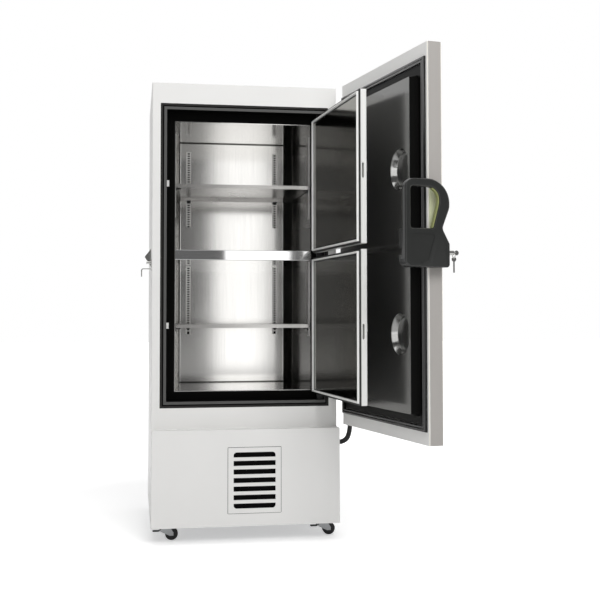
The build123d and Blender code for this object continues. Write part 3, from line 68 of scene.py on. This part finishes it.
def hinge_way(opening):
    """Direction from the free edge of a door to its hinge when it is open by an angle."""
    return math.cos(opening), math.sin(opening), 0


def opposite(way):
    """The direction turned round."""
    return tuple(-part for part in way)


UP = (0, 0, 1)
FORWARD = (0, -1, 0)
DOOR_FACE = face_way(DOOR_OPEN)
DOOR_EDGE = opposite(hinge_way(DOOR_OPEN))
LEAF_FACE = face_way(LEAF_OPEN)
LEAF_HINGE = hinge_way(LEAF_OPEN)


# Node helpers

def new_material(name, colour, metallic, roughness, specular=0.5):
    """A principled material with its constants on the shader and object coordinates ready."""
    mat = bpy.data.materials.new(name)
    mat.use_nodes = True
    tree = mat.node_tree
    shader = tree.nodes["Principled BSDF"]
    shader.inputs["Base Color"].default_value = (*colour, 1)
    shader.inputs["Metallic"].default_value = metallic
    shader.inputs["Roughness"].default_value = roughness
    shader.inputs["Specular IOR Level"].default_value = specular
    coords = tree.nodes.new("ShaderNodeTexCoord")
    return mat, tree, shader, coords


def noise(tree, coords, scale, detail=3.0, stretch=(1, 1, 1)):
    """Noise over object coordinates, stretched along chosen axes."""
    mapping = tree.nodes.new("ShaderNodeMapping")
    mapping.inputs["Scale"].default_value = stretch
    tree.links.new(coords.outputs["Object"], mapping.inputs["Vector"])
    tex = tree.nodes.new("ShaderNodeTexNoise")
    tex.inputs["Scale"].default_value = scale
    tex.inputs["Detail"].default_value = detail
    tree.links.new(mapping.outputs["Vector"], tex.inputs["Vector"])
    return tex.outputs["Fac"]


def ramp(tree, source, low, high, start=0.3, end=0.7):
    """Colour band between two tones."""
    band = tree.nodes.new("ShaderNodeValToRGB")
    band.color_ramp.elements[0].position = start
    band.color_ramp.elements[1].position = end
    band.color_ramp.elements[0].color = (*low, 1)
    band.color_ramp.elements[1].color = (*high, 1)
    tree.links.new(source, band.inputs["Fac"])
    return band.outputs["Color"]


def spread(tree, source, low, high, start=0.3, end=0.7):
    """A value mapped from one range to another."""
    node = tree.nodes.new("ShaderNodeMapRange")
    node.inputs["From Min"].default_value = start
    node.inputs["From Max"].default_value = end
    node.inputs["To Min"].default_value = low
    node.inputs["To Max"].default_value = high
    tree.links.new(source, node.inputs["Value"])
    return node.outputs["Result"]


def combined(tree, operation, first, second):
    """Two values joined by an operation."""
    node = tree.nodes.new("ShaderNodeMath")
    node.operation = operation
    tree.links.new(first, node.inputs[0])
    tree.links.new(second, node.inputs[1])
    return node.outputs["Value"]


def part_along(tree, source, axis):
    """The part of a vector along one axis of the coordinates."""
    split = tree.nodes.new("ShaderNodeSeparateXYZ")
    tree.links.new(source, split.inputs["Vector"])
    return split.outputs[axis]


def mirror_rays(tree, path):
    """One for the rays that shiny or clear surfaces send out."""
    return combined(tree, "MAXIMUM", path.outputs["Is Glossy Ray"], path.outputs["Is Transmission Ray"])


def bump(tree, shader, source, strength, distance):
    """Surface relief from a noise value."""
    node = tree.nodes.new("ShaderNodeBump")
    node.inputs["Strength"].default_value = strength
    node.inputs["Distance"].default_value = distance
    tree.links.new(source, node.inputs["Height"])
    tree.links.new(node.outputs["Normal"], shader.inputs["Normal"])


# Two kinds of surface, and a second tone laid over part of one

NOT_METAL, METAL = 0.0, 1.0
GRAIN_DEPTH = 0.0004
PATCH_SCALE = 3.0
GLOSS_LOW, GLOSS_HIGH = 0.92, 1.08


def coated(name, colour, roughness, grain=900.0, relief=0.08, shade=0.97, specular=0.5):
    """Powder coat or moulded plastic: fine grain, faint tone and gloss changes."""
    mat, tree, shader, coords = new_material(name, colour, NOT_METAL, roughness, specular)
    fine = noise(tree, coords, grain)
    broad = noise(tree, coords, PATCH_SCALE)
    tone = ramp(tree, broad, tuple(c * shade for c in colour), colour)
    gloss = spread(tree, broad, roughness * GLOSS_LOW, roughness * GLOSS_HIGH)
    tree.links.new(tone, shader.inputs["Base Color"])
    tree.links.new(gloss, shader.inputs["Roughness"])
    bump(tree, shader, fine, relief, GRAIN_DEPTH)
    return mat


STREAK_SCALE, STREAK_DETAIL = 220.0, 4.0
STREAK_DEPTH = 0.0003
STREAK_SHADE = 0.93
POLISH_SCALE = 2.2
POLISH_LOW, POLISH_HIGH = 0.85, 1.15
UPRIGHT, LEVEL, EVEN = (1, 1, 0.02), (0.02, 1, 1), (1, 1, 1)


def brushed(name, colour, roughness, stretch, relief=0.05):
    """Brushed metal: streaks drawn out along one axis."""
    mat, tree, shader, coords = new_material(name, colour, METAL, roughness)
    streak = noise(tree, coords, STREAK_SCALE, STREAK_DETAIL, stretch)
    broad = noise(tree, coords, POLISH_SCALE)
    tone = ramp(tree, streak, tuple(c * STREAK_SHADE for c in colour), colour)
    gloss = spread(tree, broad, roughness * POLISH_LOW, roughness * POLISH_HIGH)
    tree.links.new(tone, shader.inputs["Base Color"])
    tree.links.new(gloss, shader.inputs["Roughness"])
    bump(tree, shader, streak, relief, STREAK_DEPTH)
    return mat


def overlay(mat, source_output, axis, limits, colour):
    """Lay another colour over the faces or places picked by a vector's part along an axis."""
    tree = mat.node_tree
    shader = tree.nodes["Principled BSDF"]
    coords = next(n for n in tree.nodes if n.bl_idname == "ShaderNodeTexCoord")
    dot = tree.nodes.new("ShaderNodeVectorMath")
    dot.operation = "DOT_PRODUCT"
    dot.inputs[1].default_value = axis
    tree.links.new(coords.outputs[source_output], dot.inputs[0])
    mask = spread(tree, dot.outputs["Value"], 0.0, 1.0, *limits)
    mix = tree.nodes.new("ShaderNodeMix")
    mix.data_type = "RGBA"
    mix.inputs["B"].default_value = (*colour, 1)
    under = shader.inputs["Base Color"].links[0].from_socket
    tree.links.new(mask, mix.inputs["Factor"])
    tree.links.new(under, mix.inputs["A"])
    tree.links.new(mix.outputs["Result"], shader.inputs["Base Color"])


def beyond(node, way, depth):
    """Limits of a mask over the last stretch of a node along a direction."""
    end = max(v.co.dot(Vector(way)) for v in nodes[node].data.vertices)
    return end - depth, end - depth / 2


# Paints

WHITE = (0.82, 0.815, 0.80)
PAINT_ROUGHNESS = 0.42


def door_paint():
    """Door paint, with painted shade on the free edge."""
    mat = coated("door_paint", WHITE, PAINT_ROUGHNESS)
    overlay(mat, "Normal", DOOR_EDGE, limits=(0.9, 0.95), colour=(0.37, 0.352, 0.335))
    return mat


def grille_paint():
    """Grille paint, with painted shade on the lap behind the panel, which shows dark in the gap round the
    frame.
    """
    lap_thickness = 0.002
    lap_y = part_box("filter_grille")[1][1] - lap_thickness
    mat = coated("grille_paint", WHITE, PAINT_ROUGHNESS)
    overlay(mat, "Object", opposite(FORWARD), limits=(lap_y - 0.0004, lap_y - 0.0001),
            colour=(0.02, 0.02, 0.02))
    return mat


# Plastics and rubbers

LEAF_WHITE = (0.80, 0.80, 0.78)


def breaker_black():
    """Matt black of the breaker frame, with painted highlight: paler on its front face and palest on its
    rim.
    """
    mat = coated("black_frame", (0.0025, 0.0025, 0.0022), roughness=0.55, grain=600.0, relief=0.1, shade=0.8,
                 specular=0.06)
    front = -FRONT_Y
    overlay(mat, "Object", FORWARD, limits=(front - 0.0015, front - 0.0005), colour=(0.03, 0.029, 0.028))
    overlay(mat, "Object", FORWARD, limits=(front + 0.0018, front + 0.0025), colour=(0.1, 0.1, 0.098))
    return mat


def gasket_rubber():
    """Glossy rubber of the gasket, with a painted highlight along the crests of its beads."""
    crest = 0.002
    mat = coated("gasket_rubber", (0.004, 0.004, 0.004), roughness=0.2, grain=800.0, relief=0.05, shade=0.8)
    overlay(mat, "Object", DOOR_FACE, beyond("door_gasket", DOOR_FACE, crest), colour=(0.06, 0.06, 0.06))
    return mat


def leaf_plastic():
    """White plastic of the inner doors, with painted shade along the side that faces the chamber when they
    are shut.
    """
    dark_side = 0.008
    mat = coated("leaf_plastic", LEAF_WHITE, roughness=0.38, grain=700.0)
    limits = beyond("inner_door_upper", LEAF_FACE, dark_side)
    overlay(mat, "Object", LEAF_FACE, limits, colour=(0.008, 0.008, 0.008))
    return mat


# Steels

def liner_steel():
    """Brushed steel of the chamber, dark along the rear seams of its ceiling and floor, partly as seams and
    partly as painted shade in the corners.
    """
    ceiling, floor_level, seam_and_shade = 1.796, 0.627, 0.006
    mat = brushed("liner_steel", (0.62, 0.612, 0.595), roughness=0.13, stretch=UPRIGHT)
    for way, corner in (((0, 1, 1), BACK_Y + ceiling), ((0, 1, -1), BACK_Y - floor_level)):
        overlay(mat, "Object", way, limits=(corner - seam_and_shade, corner - seam_and_shade / 2), colour=(0.06, 0.06, 0.055))
    return mat


def door_steel():
    """Steel of the door liner, darkened as painted shade, with a lighter tone in its scooped pockets as
    painted highlight.
    """
    flat_depth, blend_depth = 0.002, 0.001
    pocket = -beyond("door_liner", DOOR_FACE, flat_depth)[0]
    mat = brushed("door_steel", (0.2, 0.2, 0.196), roughness=0.17, stretch=UPRIGHT, relief=0.015)
    overlay(mat, "Object", opposite(DOOR_FACE), limits=(pocket, pocket + blend_depth),
            colour=(0.34, 0.34, 0.332))
    return mat


def skin_steel(node):
    """Polished skin of an inner door, with a painted shadow line round its edge."""
    line = 0.004
    mat = brushed(f"{node}_steel", (0.27, 0.266, 0.246), roughness=0.12, stretch=UPRIGHT, relief=0.02)
    for way in (UP, opposite(UP), LEAF_HINGE, opposite(LEAF_HINGE)):
        overlay(mat, "Object", way, beyond(node, way, line), colour=(0.004, 0.004, 0.004))
    return mat


# Plain materials
white_paint = coated("white_paint", WHITE, PAINT_ROUGHNESS)
machine_paint = coated("machine_paint", (0.02, 0.02, 0.02), roughness=0.4, grain=500.0, relief=0.15,
                       shade=0.8)
plug_black = coated("plug_black", (0.003, 0.003, 0.0027), roughness=0.4, grain=600.0, relief=0.1, shade=0.8,
                    specular=0.08)
black_plastic = coated("black_plastic", (0.024, 0.025, 0.024), roughness=0.26, grain=1200.0, relief=0.1,
                       shade=0.8, specular=0.55)
white_plastic = coated("white_plastic", LEAF_WHITE, roughness=0.38, grain=700.0)
pale_green = coated("pale_green", (0.70, 0.73, 0.48), roughness=0.5, relief=0.1, shade=0.95)
green_rubber = coated("green_rubber", (0.27, 0.29, 0.11), roughness=0.55, relief=0.2, shade=0.85)
seal_white = coated("seal_white", (0.9, 0.9, 0.88), roughness=0.5, grain=700.0)
wheel_rubber = coated("wheel_rubber", (0.012, 0.012, 0.012), roughness=0.5, grain=500.0, relief=0.2,
                      shade=0.8)
filter_mat = coated("filter_mat", (0.003, 0.003, 0.003), roughness=0.95, grain=300.0, relief=0.6, shade=0.6,
                    specular=0.1)
foam = coated("foam", (0.72, 0.62, 0.36), roughness=0.9, grain=250.0, relief=0.6, shade=0.85)
rail_steel = brushed("rail_steel", (0.72, 0.71, 0.69), roughness=0.4, stretch=UPRIGHT)
shelf_steel = brushed("shelf_steel", (0.46, 0.45, 0.435), roughness=0.25, stretch=LEVEL)
divider_steel = brushed("divider_steel", (0.74, 0.74, 0.74), roughness=0.06, stretch=LEVEL, relief=0.02)
zinc = brushed("zinc", (0.5, 0.51, 0.52), roughness=0.42, stretch=EVEN)
chrome = brushed("chrome", (0.7, 0.7, 0.68), roughness=0.12, stretch=EVEN, relief=0.02)
copper = brushed("copper", (0.72, 0.38, 0.22), roughness=0.3, stretch=EVEN)

# Every node with its material
finishes = (
    (white_paint, ("cabinet_shell", "lower_front_panel", "door_hinge_leaves", "hinge_brackets")),
    (door_paint(), ("door_panel",)),
    (grille_paint(), ("filter_grille",)),
    (machine_paint, ("compressors", "shelf_clips", "inner_hinge_blocks")),
    (breaker_black(), ("breaker_frame",)),
    (plug_black, ("door_plug_frame",)),
    (black_plastic, ("handle_lever", "control_panel", "harness_gland", "power_inlet", "fan_blades",
                     "brake_pedal_left", "brake_pedal_right")),
    (leaf_plastic(), ("inner_door_upper", "inner_door_lower")),
    (white_plastic, ("latch_strikes",)),
    (pale_green, ("handle_base",)),
    (green_rubber, ("handle_grip",)),
    (gasket_rubber(), ("door_gasket",)),
    (seal_white, ("inner_seal_upper", "inner_seal_lower")),
    (wheel_rubber, ("wheel_front_left", "wheel_front_right", "wheel_rear_left", "wheel_rear_right",
                    "door_harness")),
    (filter_mat, ("air_filter",)),
    (foam, ("insulation", "door_core", "cascade_exchanger")),
    (liner_steel(), ("inner_liner",)),
    (rail_steel, ("shelf_standards",)),
    (shelf_steel, ("shelf_upper", "shelf_lower")),
    (divider_steel, ("mid_divider",)),
    (door_steel(), ("door_liner",)),
    (skin_steel("inner_skin_upper"), ("inner_skin_upper",)),
    (skin_steel("inner_skin_lower"), ("inner_skin_lower",)),
    (zinc, ("rear_panel", "bay_rear_cover", "base_frame", "fan_shroud", "fan_motor", "control_box",
            "caster_mounts", "caster_fork_left", "caster_fork_right", "condenser")),
    (chrome, ("inner_latch_upper", "inner_latch_lower", "door_striker", "lock_barrel", "hanging_key")),
    (copper, ("evaporator_coil", "refrigerant_lines")),
)
looks = {node: mat for mat, names in finishes for node in names}
for name, obj in nodes.items():
    obj.data.materials.clear()
    obj.data.materials.append(looks[name])


# Shape helpers

def add_object(name, data):
    """A new object of the scene around its data."""
    obj = bpy.data.objects.new(name, data)
    scene.collection.objects.link(obj)
    return obj


def mesh_object(name, verts, faces, *mats):
    """A new mesh object with its materials."""
    mesh = bpy.data.meshes.new(name)
    mesh.from_pydata(verts, [], faces)
    for mat in mats:
        mesh.materials.append(mat)
    return add_object(name, mesh)


def add_box(verts, faces, low, high):
    """One box between two corners, onto the lists."""
    base = len(verts)
    verts += [(x, y, z) for x in (low[0], high[0]) for y in (low[1], high[1]) for z in (low[2], high[2])]
    sides = ((0, 1, 3, 2), (4, 6, 7, 5), (0, 4, 5, 1), (2, 3, 7, 6), (0, 2, 6, 4), (1, 5, 7, 3))
    faces += [tuple(base + i for i in side) for side in sides]


# Slotted shelf standards with their true close pitch

STRIP_HALF = 0.012
STRIP_THICK = 0.003
BACK_THICK = STRIP_THICK / 6
SLOT_HALF = 0.0055
SLOT_TALL = 0.006
SLOT_PITCH = 0.0115
BAR_TALL = SLOT_PITCH - SLOT_TALL
REAR_STRIP_X = 0.212
UPPER_FOOT = 1.3827
LOWER_HEAD = 1.190


def strip_boxes(place, low, high):
    """Boxes of one standard: two rails and the bars between its slots."""
    boxes = [place(-STRIP_HALF, -SLOT_HALF, STRIP_THICK, low, high)]
    boxes.append(place(SLOT_HALF, STRIP_HALF, STRIP_THICK, low, high))
    for i in range(int((high - low) / SLOT_PITCH)):
        top = high - i * SLOT_PITCH
        boxes.append(place(-SLOT_HALF, SLOT_HALF, STRIP_THICK, top - BAR_TALL, top))
    return boxes


def on_back(x):
    """Placing rule for a standard on the rear wall."""
    def place(start, end, thick, low, high):
        return (x + start, BACK_Y - thick, low), (x + end, BACK_Y, high)
    return place


def on_side(side, wall_x, middle_y):
    """Placing rule for a standard on a side wall."""
    def place(start, end, thick, low, high):
        left, right = sorted((side * wall_x, side * (wall_x - thick)))
        return (left, middle_y + start, low), (right, middle_y + end, high)
    return place


def slotted_standards():
    """All the standards in one mesh, with dark sheets behind their slots as painted shade."""
    box_low, box_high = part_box("shelf_standards")
    wall_x = box_high[0]
    middle_y = box_low[1] + STRIP_HALF
    places = (on_back(-REAR_STRIP_X), on_back(REAR_STRIP_X),
              on_side(-1, wall_x, middle_y), on_side(1, wall_x, middle_y))
    boxes, shade_sheets = [], []
    for low, high in ((UPPER_FOOT, box_high[2]), (box_low[2], LOWER_HEAD)):
        for place in places:
            boxes += strip_boxes(place, low, high)
            shade_sheets.append(place(-SLOT_HALF, SLOT_HALF, BACK_THICK, low, high))
    verts, faces = [], []
    for low, high in boxes:
        add_box(verts, faces, low, high)
    steel_faces = len(faces)
    for low, high in shade_sheets:
        add_box(verts, faces, low, high)
    obj = mesh_object("slotted_standards", verts, faces, rail_steel, filter_mat)
    for polygon in obj.data.polygons[steel_faces:]:
        polygon.material_index = 1
    return obj


standards = slotted_standards()
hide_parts("shelf_standards")
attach(standards, "cabinet")

# Door gasket with its soft double bead, drawn on the shut door and swung open with it

swing = Matrix.Translation(DOOR_AXIS) @ Matrix.Rotation(DOOR_OPEN, 4, "Z") @ Matrix.Translation(-DOOR_AXIS)
GASKET_HALF = 0.384
GASKET_LOW = 0.536
GASKET_HIGH = 1.893
GASKET_SEAT_Y = FRONT_Y - 0.012
BEAD_MM = ((0, 0), (0, 6), (1.5, 9), (4.5, 11), (7.5, 11), (10, 8.5), (11, 7), (12, 8.5), (14.5, 11),
           (17.5, 11), (20.5, 9), (22, 6), (22, 0))


def ribbed_gasket():
    """The bead's section drawn round the door as a closed frame with square corners."""
    verts = []
    for inset, rise in BEAD_MM:
        inward = inset / 1000
        x, y = GASKET_HALF - inward, GASKET_SEAT_Y + rise / 1000
        low, high = GASKET_LOW + inward, GASKET_HIGH - inward
        verts += [swing @ Vector(p) for p in ((-x, y, low), (x, y, low), (x, y, high), (-x, y, high))]
    faces = []
    for ring in range(len(BEAD_MM)):
        here, after = 4 * ring, 4 * ((ring + 1) % len(BEAD_MM))
        for corner in range(4):
            turn = (corner + 1) % 4
            faces.append((here + corner, here + turn, after + turn, after + corner))
    obj = mesh_object("ribbed_gasket", verts, faces, looks["door_gasket"])
    obj.data.shade_smooth()
    return obj


gasket = ribbed_gasket()
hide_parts("door_gasket")
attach(gasket, "outer_door")

# Corrugated harness hose on a smooth line led by the route of the plain one

HOSE_RADIUS = 0.011
HOSE_SIDES = 14
RIB_DEPTH = 0.0005
RIB_PITCH = 0.006
LINE_STEPS = 60
RING_GUIDE = Vector((0.3, 0.9, 0.1))
HOSE_START_Y = FRONT_Y + 0.030
gland = swing @ Vector((0.420, FRONT_Y - 0.055, 0))
route = [Vector((0.400, HOSE_START_Y, 0.400)), Vector((0.432, HOSE_START_Y, 0.396)),
         Vector((gland.x, gland.y, 0.438)), Vector((gland.x, gland.y, 0.4997))]


def smooth_line(name, places):
    """Points along one smooth curve that a route's places lead."""
    line = bpy.data.curves.new(name, "CURVE")
    line.dimensions = "3D"
    line.resolution_u = LINE_STEPS
    spline = line.splines.new("NURBS")
    spline.points.add(len(places) - 1)
    for point, place in zip(spline.points, places):
        point.co = (*place, 1)
    spline.order_u = 3
    spline.use_endpoint_u = True
    carrier = bpy.data.objects.new(name, line)
    points = [v.co.copy() for v in bpy.data.meshes.new_from_object(carrier).vertices]
    bpy.data.objects.remove(carrier)
    return points


def ribbed_tube(name, points, mat):
    """A closed tube along points, its radius waving to make ribs."""
    verts, faces, along = [], [], 0.0
    last = len(points) - 1
    turns = [2 * math.pi * s / HOSE_SIDES for s in range(HOSE_SIDES)]
    for i, point in enumerate(points):
        ahead = (points[min(i + 1, last)] - points[max(i - 1, 0)]).normalized()
        across = ahead.cross(RING_GUIDE).normalized()
        other = ahead.cross(across)
        along += (point - points[max(i - 1, 0)]).length
        radius = HOSE_RADIUS - RIB_DEPTH * (1 - math.cos(2 * math.pi * along / RIB_PITCH))
        verts += [point + radius * (math.cos(t) * across + math.sin(t) * other) for t in turns]
    for i in range(last):
        ring, after = i * HOSE_SIDES, (i + 1) * HOSE_SIDES
        for s in range(HOSE_SIDES):
            beside = (s + 1) % HOSE_SIDES
            faces.append((ring + s, ring + beside, after + beside, after + s))
    faces.append(tuple(reversed(range(HOSE_SIDES))))
    faces.append(tuple(last * HOSE_SIDES + s for s in range(HOSE_SIDES)))
    obj = mesh_object(name, verts, faces, mat)
    obj.data.shade_smooth()
    return obj


hose_line = smooth_line("harness_route", route)
hose = ribbed_tube("corrugated_harness", hose_line, wheel_rubber)
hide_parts("door_harness")
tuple(route[1])
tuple(route[3])
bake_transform(hose)
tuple(route[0])

# Moulded and pressed pieces with rounded edges

SHARP = math.radians(50)
FLAT = math.radians(1)
SAME_PLACE = 1e-6
ROUND_STEPS = 3


def lean_normals(mesh):
    """Lean the corner normals to the larger faces: flat sheets stay flat and bends catch the light."""
    around = [[] for _ in mesh.vertices]
    for face in mesh.polygons:
        for index in face.vertices:
            around[index].append(face)
    corners = []
    for face in mesh.polygons:
        for index in face.vertices:
            near = [f for f in around[index] if f.normal.dot(face.normal) > math.cos(SHARP)]
            corners.append(sum((f.normal * f.area for f in near), Vector()).normalized())
    mesh.normals_split_custom_set(corners)


def softened(node, name, body, width):
    """A stand-in for a CAD piece, the same but with its sharp edges rounded."""
    shape = bmesh.new()
    shape.from_mesh(nodes[node].data)
    bmesh.ops.remove_doubles(shape, verts=shape.verts, dist=SAME_PLACE)
    bmesh.ops.dissolve_limit(shape, angle_limit=FLAT, verts=shape.verts, edges=shape.edges)
    sharp = [e for e in shape.edges if len(e.link_faces) == 2 and e.calc_face_angle() > SHARP]
    bmesh.ops.bevel(shape, geom=sharp, offset=width, segments=ROUND_STEPS, profile=0.5, affect="EDGES",
                    clamp_overlap=True)
    mesh = bpy.data.meshes.new(name)
    shape.to_mesh(mesh)
    shape.free()
    mesh.materials.append(looks[node])
    mesh.shade_smooth()
    lean_normals(mesh)
    obj = add_object(name, mesh)
    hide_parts(node)
    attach(obj, body)


softened("handle_lever", "rounded_handle", "handle", width=0.003)
softened("door_liner", "smooth_door_liner", "outer_door", width=0.0006)
softened("door_plug_frame", "rounded_plug_frame", "outer_door", width=0.0015)
softened("breaker_frame", "rounded_breaker_frame", "cabinet", width=0.001)
softened("inner_door_upper", "rounded_inner_door_upper", "inner_leaf_upper", width=0.0015)
softened("inner_door_lower", "rounded_inner_door_lower", "inner_leaf_lower", width=0.0015)

# Pale floor that the camera sees as white away from the shadow

FLOOR_HALF = 30.0
FLOOR_TONE, FLOOR_SPECK = (0.92, 0.92, 0.92), (0.91, 0.91, 0.91)
SPECK_SCALE = 40.0
NEAR_GLOW, FAR_GLOW = 0.42, 1.0
NEAR, FAR = 1.2, 3.0
MIRRORED_FROM_Y, MIRRORED_TO_Y = -0.5, 2.0


def floor_material():
    """Pale floor that glows for the camera with distance, and for shiny surfaces towards the back."""
    mat, tree, shader, coords = new_material("floor", FLOOR_TONE, NOT_METAL, roughness=0.7, specular=0.2)
    tone = ramp(tree, noise(tree, coords, SPECK_SCALE), FLOOR_SPECK, FLOOR_TONE)
    tree.links.new(tone, shader.inputs["Base Color"])
    shader.inputs["Emission Color"].default_value = (1, 1, 1, 1)
    path = tree.nodes.new("ShaderNodeLightPath")
    distance = tree.nodes.new("ShaderNodeVectorMath")
    distance.operation = "LENGTH"
    tree.links.new(coords.outputs["Object"], distance.inputs[0])
    away = spread(tree, distance.outputs["Value"], NEAR_GLOW, FAR_GLOW, NEAR, FAR)
    y = part_along(tree, coords.outputs["Object"], "Y")
    behind = spread(tree, y, 0.0, 1.0, MIRRORED_FROM_Y, MIRRORED_TO_Y)
    seen = combined(tree, "MULTIPLY", away, path.outputs["Is Camera Ray"])
    mirrored = combined(tree, "MULTIPLY", behind, mirror_rays(tree, path))
    glow = combined(tree, "MAXIMUM", seen, mirrored)
    tree.links.new(glow, shader.inputs["Emission Strength"])
    return mat


floor_corners = [(-FLOOR_HALF, -FLOOR_HALF, 0), (FLOOR_HALF, -FLOOR_HALF, 0),
                 (FLOOR_HALF, FLOOR_HALF, 0), (-FLOOR_HALF, FLOOR_HALF, 0)]
floor = mesh_object("floor", floor_corners, [(0, 1, 2, 3)], floor_material())


# Soft studio lamps

def lamp(name, place, aim, size, power, mirrored):
    """A soft rectangular lamp aimed at a point, seen in shiny surfaces or not."""
    data = bpy.data.lights.new(name, "AREA")
    data.shape = "RECTANGLE"
    data.size = size[0]
    data.size_y = size[1]
    data.energy = power
    obj = add_object(name, data)
    obj.location = place
    obj.rotation_euler = (Vector(aim) - Vector(place)).to_track_quat("-Z", "Y").to_euler()
    obj.visible_camera = False
    obj.visible_glossy = mirrored


lamp("key", place=(0.9, -4.4, 3.6), aim=(0, 0, 1.2), size=(2.4, 2.0), power=98, mirrored=False)
lamp("top", place=(0, -0.6, 4.2), aim=(0, -0.6, 0), size=(3.0, 3.0), power=50, mirrored=True)
lamp("front_strip", place=(0.35, -2.7, 1.45), aim=(0.05, 0.23, 1.2), size=(0.44, 1.9), power=4.4,
     mirrored=True)

# Room: plain light for the object, white for the camera, dark on the camera's side in shiny surfaces

AMBIENT = 0.42
ROOM_DARK, ROOM_BRIGHT = 0.16, 1.0
ROOM_DARK_Y, ROOM_BRIGHT_Y = -0.2, 0.25


def white_light(node, strength):
    """Make a background node white, at a strength."""
    node.inputs["Color"].default_value = (1, 1, 1, 1)
    node.inputs["Strength"].default_value = strength
    return node.outputs["Background"]


def mixed(tree, factor, first, second):
    """One of two shaders, picked by a factor."""
    node = tree.nodes.new("ShaderNodeMixShader")
    tree.links.new(factor, node.inputs["Fac"])
    tree.links.new(first, node.inputs[1])
    tree.links.new(second, node.inputs[2])
    return node.outputs["Shader"]


def studio_world():
    """The world, with what lights the object, what shiny surfaces show and what the camera sees."""
    world = bpy.data.worlds.new("studio")
    world.use_nodes = True
    tree = world.node_tree
    path = tree.nodes.new("ShaderNodeLightPath")
    coords = tree.nodes.new("ShaderNodeTexCoord")
    ambient = white_light(tree.nodes["Background"], AMBIENT)
    room_node = tree.nodes.new("ShaderNodeBackground")
    room = white_light(room_node, ROOM_BRIGHT)
    y = part_along(tree, coords.outputs["Generated"], "Y")
    fade = spread(tree, y, ROOM_DARK, ROOM_BRIGHT, ROOM_DARK_Y, ROOM_BRIGHT_Y)
    tree.links.new(fade, room_node.inputs["Strength"])
    seen = white_light(tree.nodes.new("ShaderNodeBackground"), 1.0)
    lit = mixed(tree, mirror_rays(tree, path), ambient, room)
    whole = mixed(tree, path.outputs["Is Camera Ray"], lit, seen)
    tree.links.new(whole, tree.nodes["World Output"].inputs["Surface"])
    return world


scene.world = studio_world()

# Camera at the viewing angle of the product picture

YAW = math.radians(9.262)
PITCH = math.radians(2.358)
ROLL = math.radians(-0.063)
CAMERA_PLACE = (-0.4726, FRONT_Y - 4.3631, 0.9602)
camera_data = bpy.data.cameras.new("camera")
camera_data.sensor_fit = "HORIZONTAL"
camera_data.sensor_width = 36.0
camera_data.lens = 61.05
camera_data.shift_y = -0.0471
camera = add_object("camera", camera_data)
look = Matrix.Rotation(-YAW, 4, "Z") @ Matrix.Rotation(math.pi / 2 + PITCH, 4, "X")
camera.matrix_world = Matrix.Translation(CAMERA_PLACE) @ look @ Matrix.Rotation(ROLL, 4, "Z")
scene.camera = camera
scene.view_settings.view_transform = "Standard"
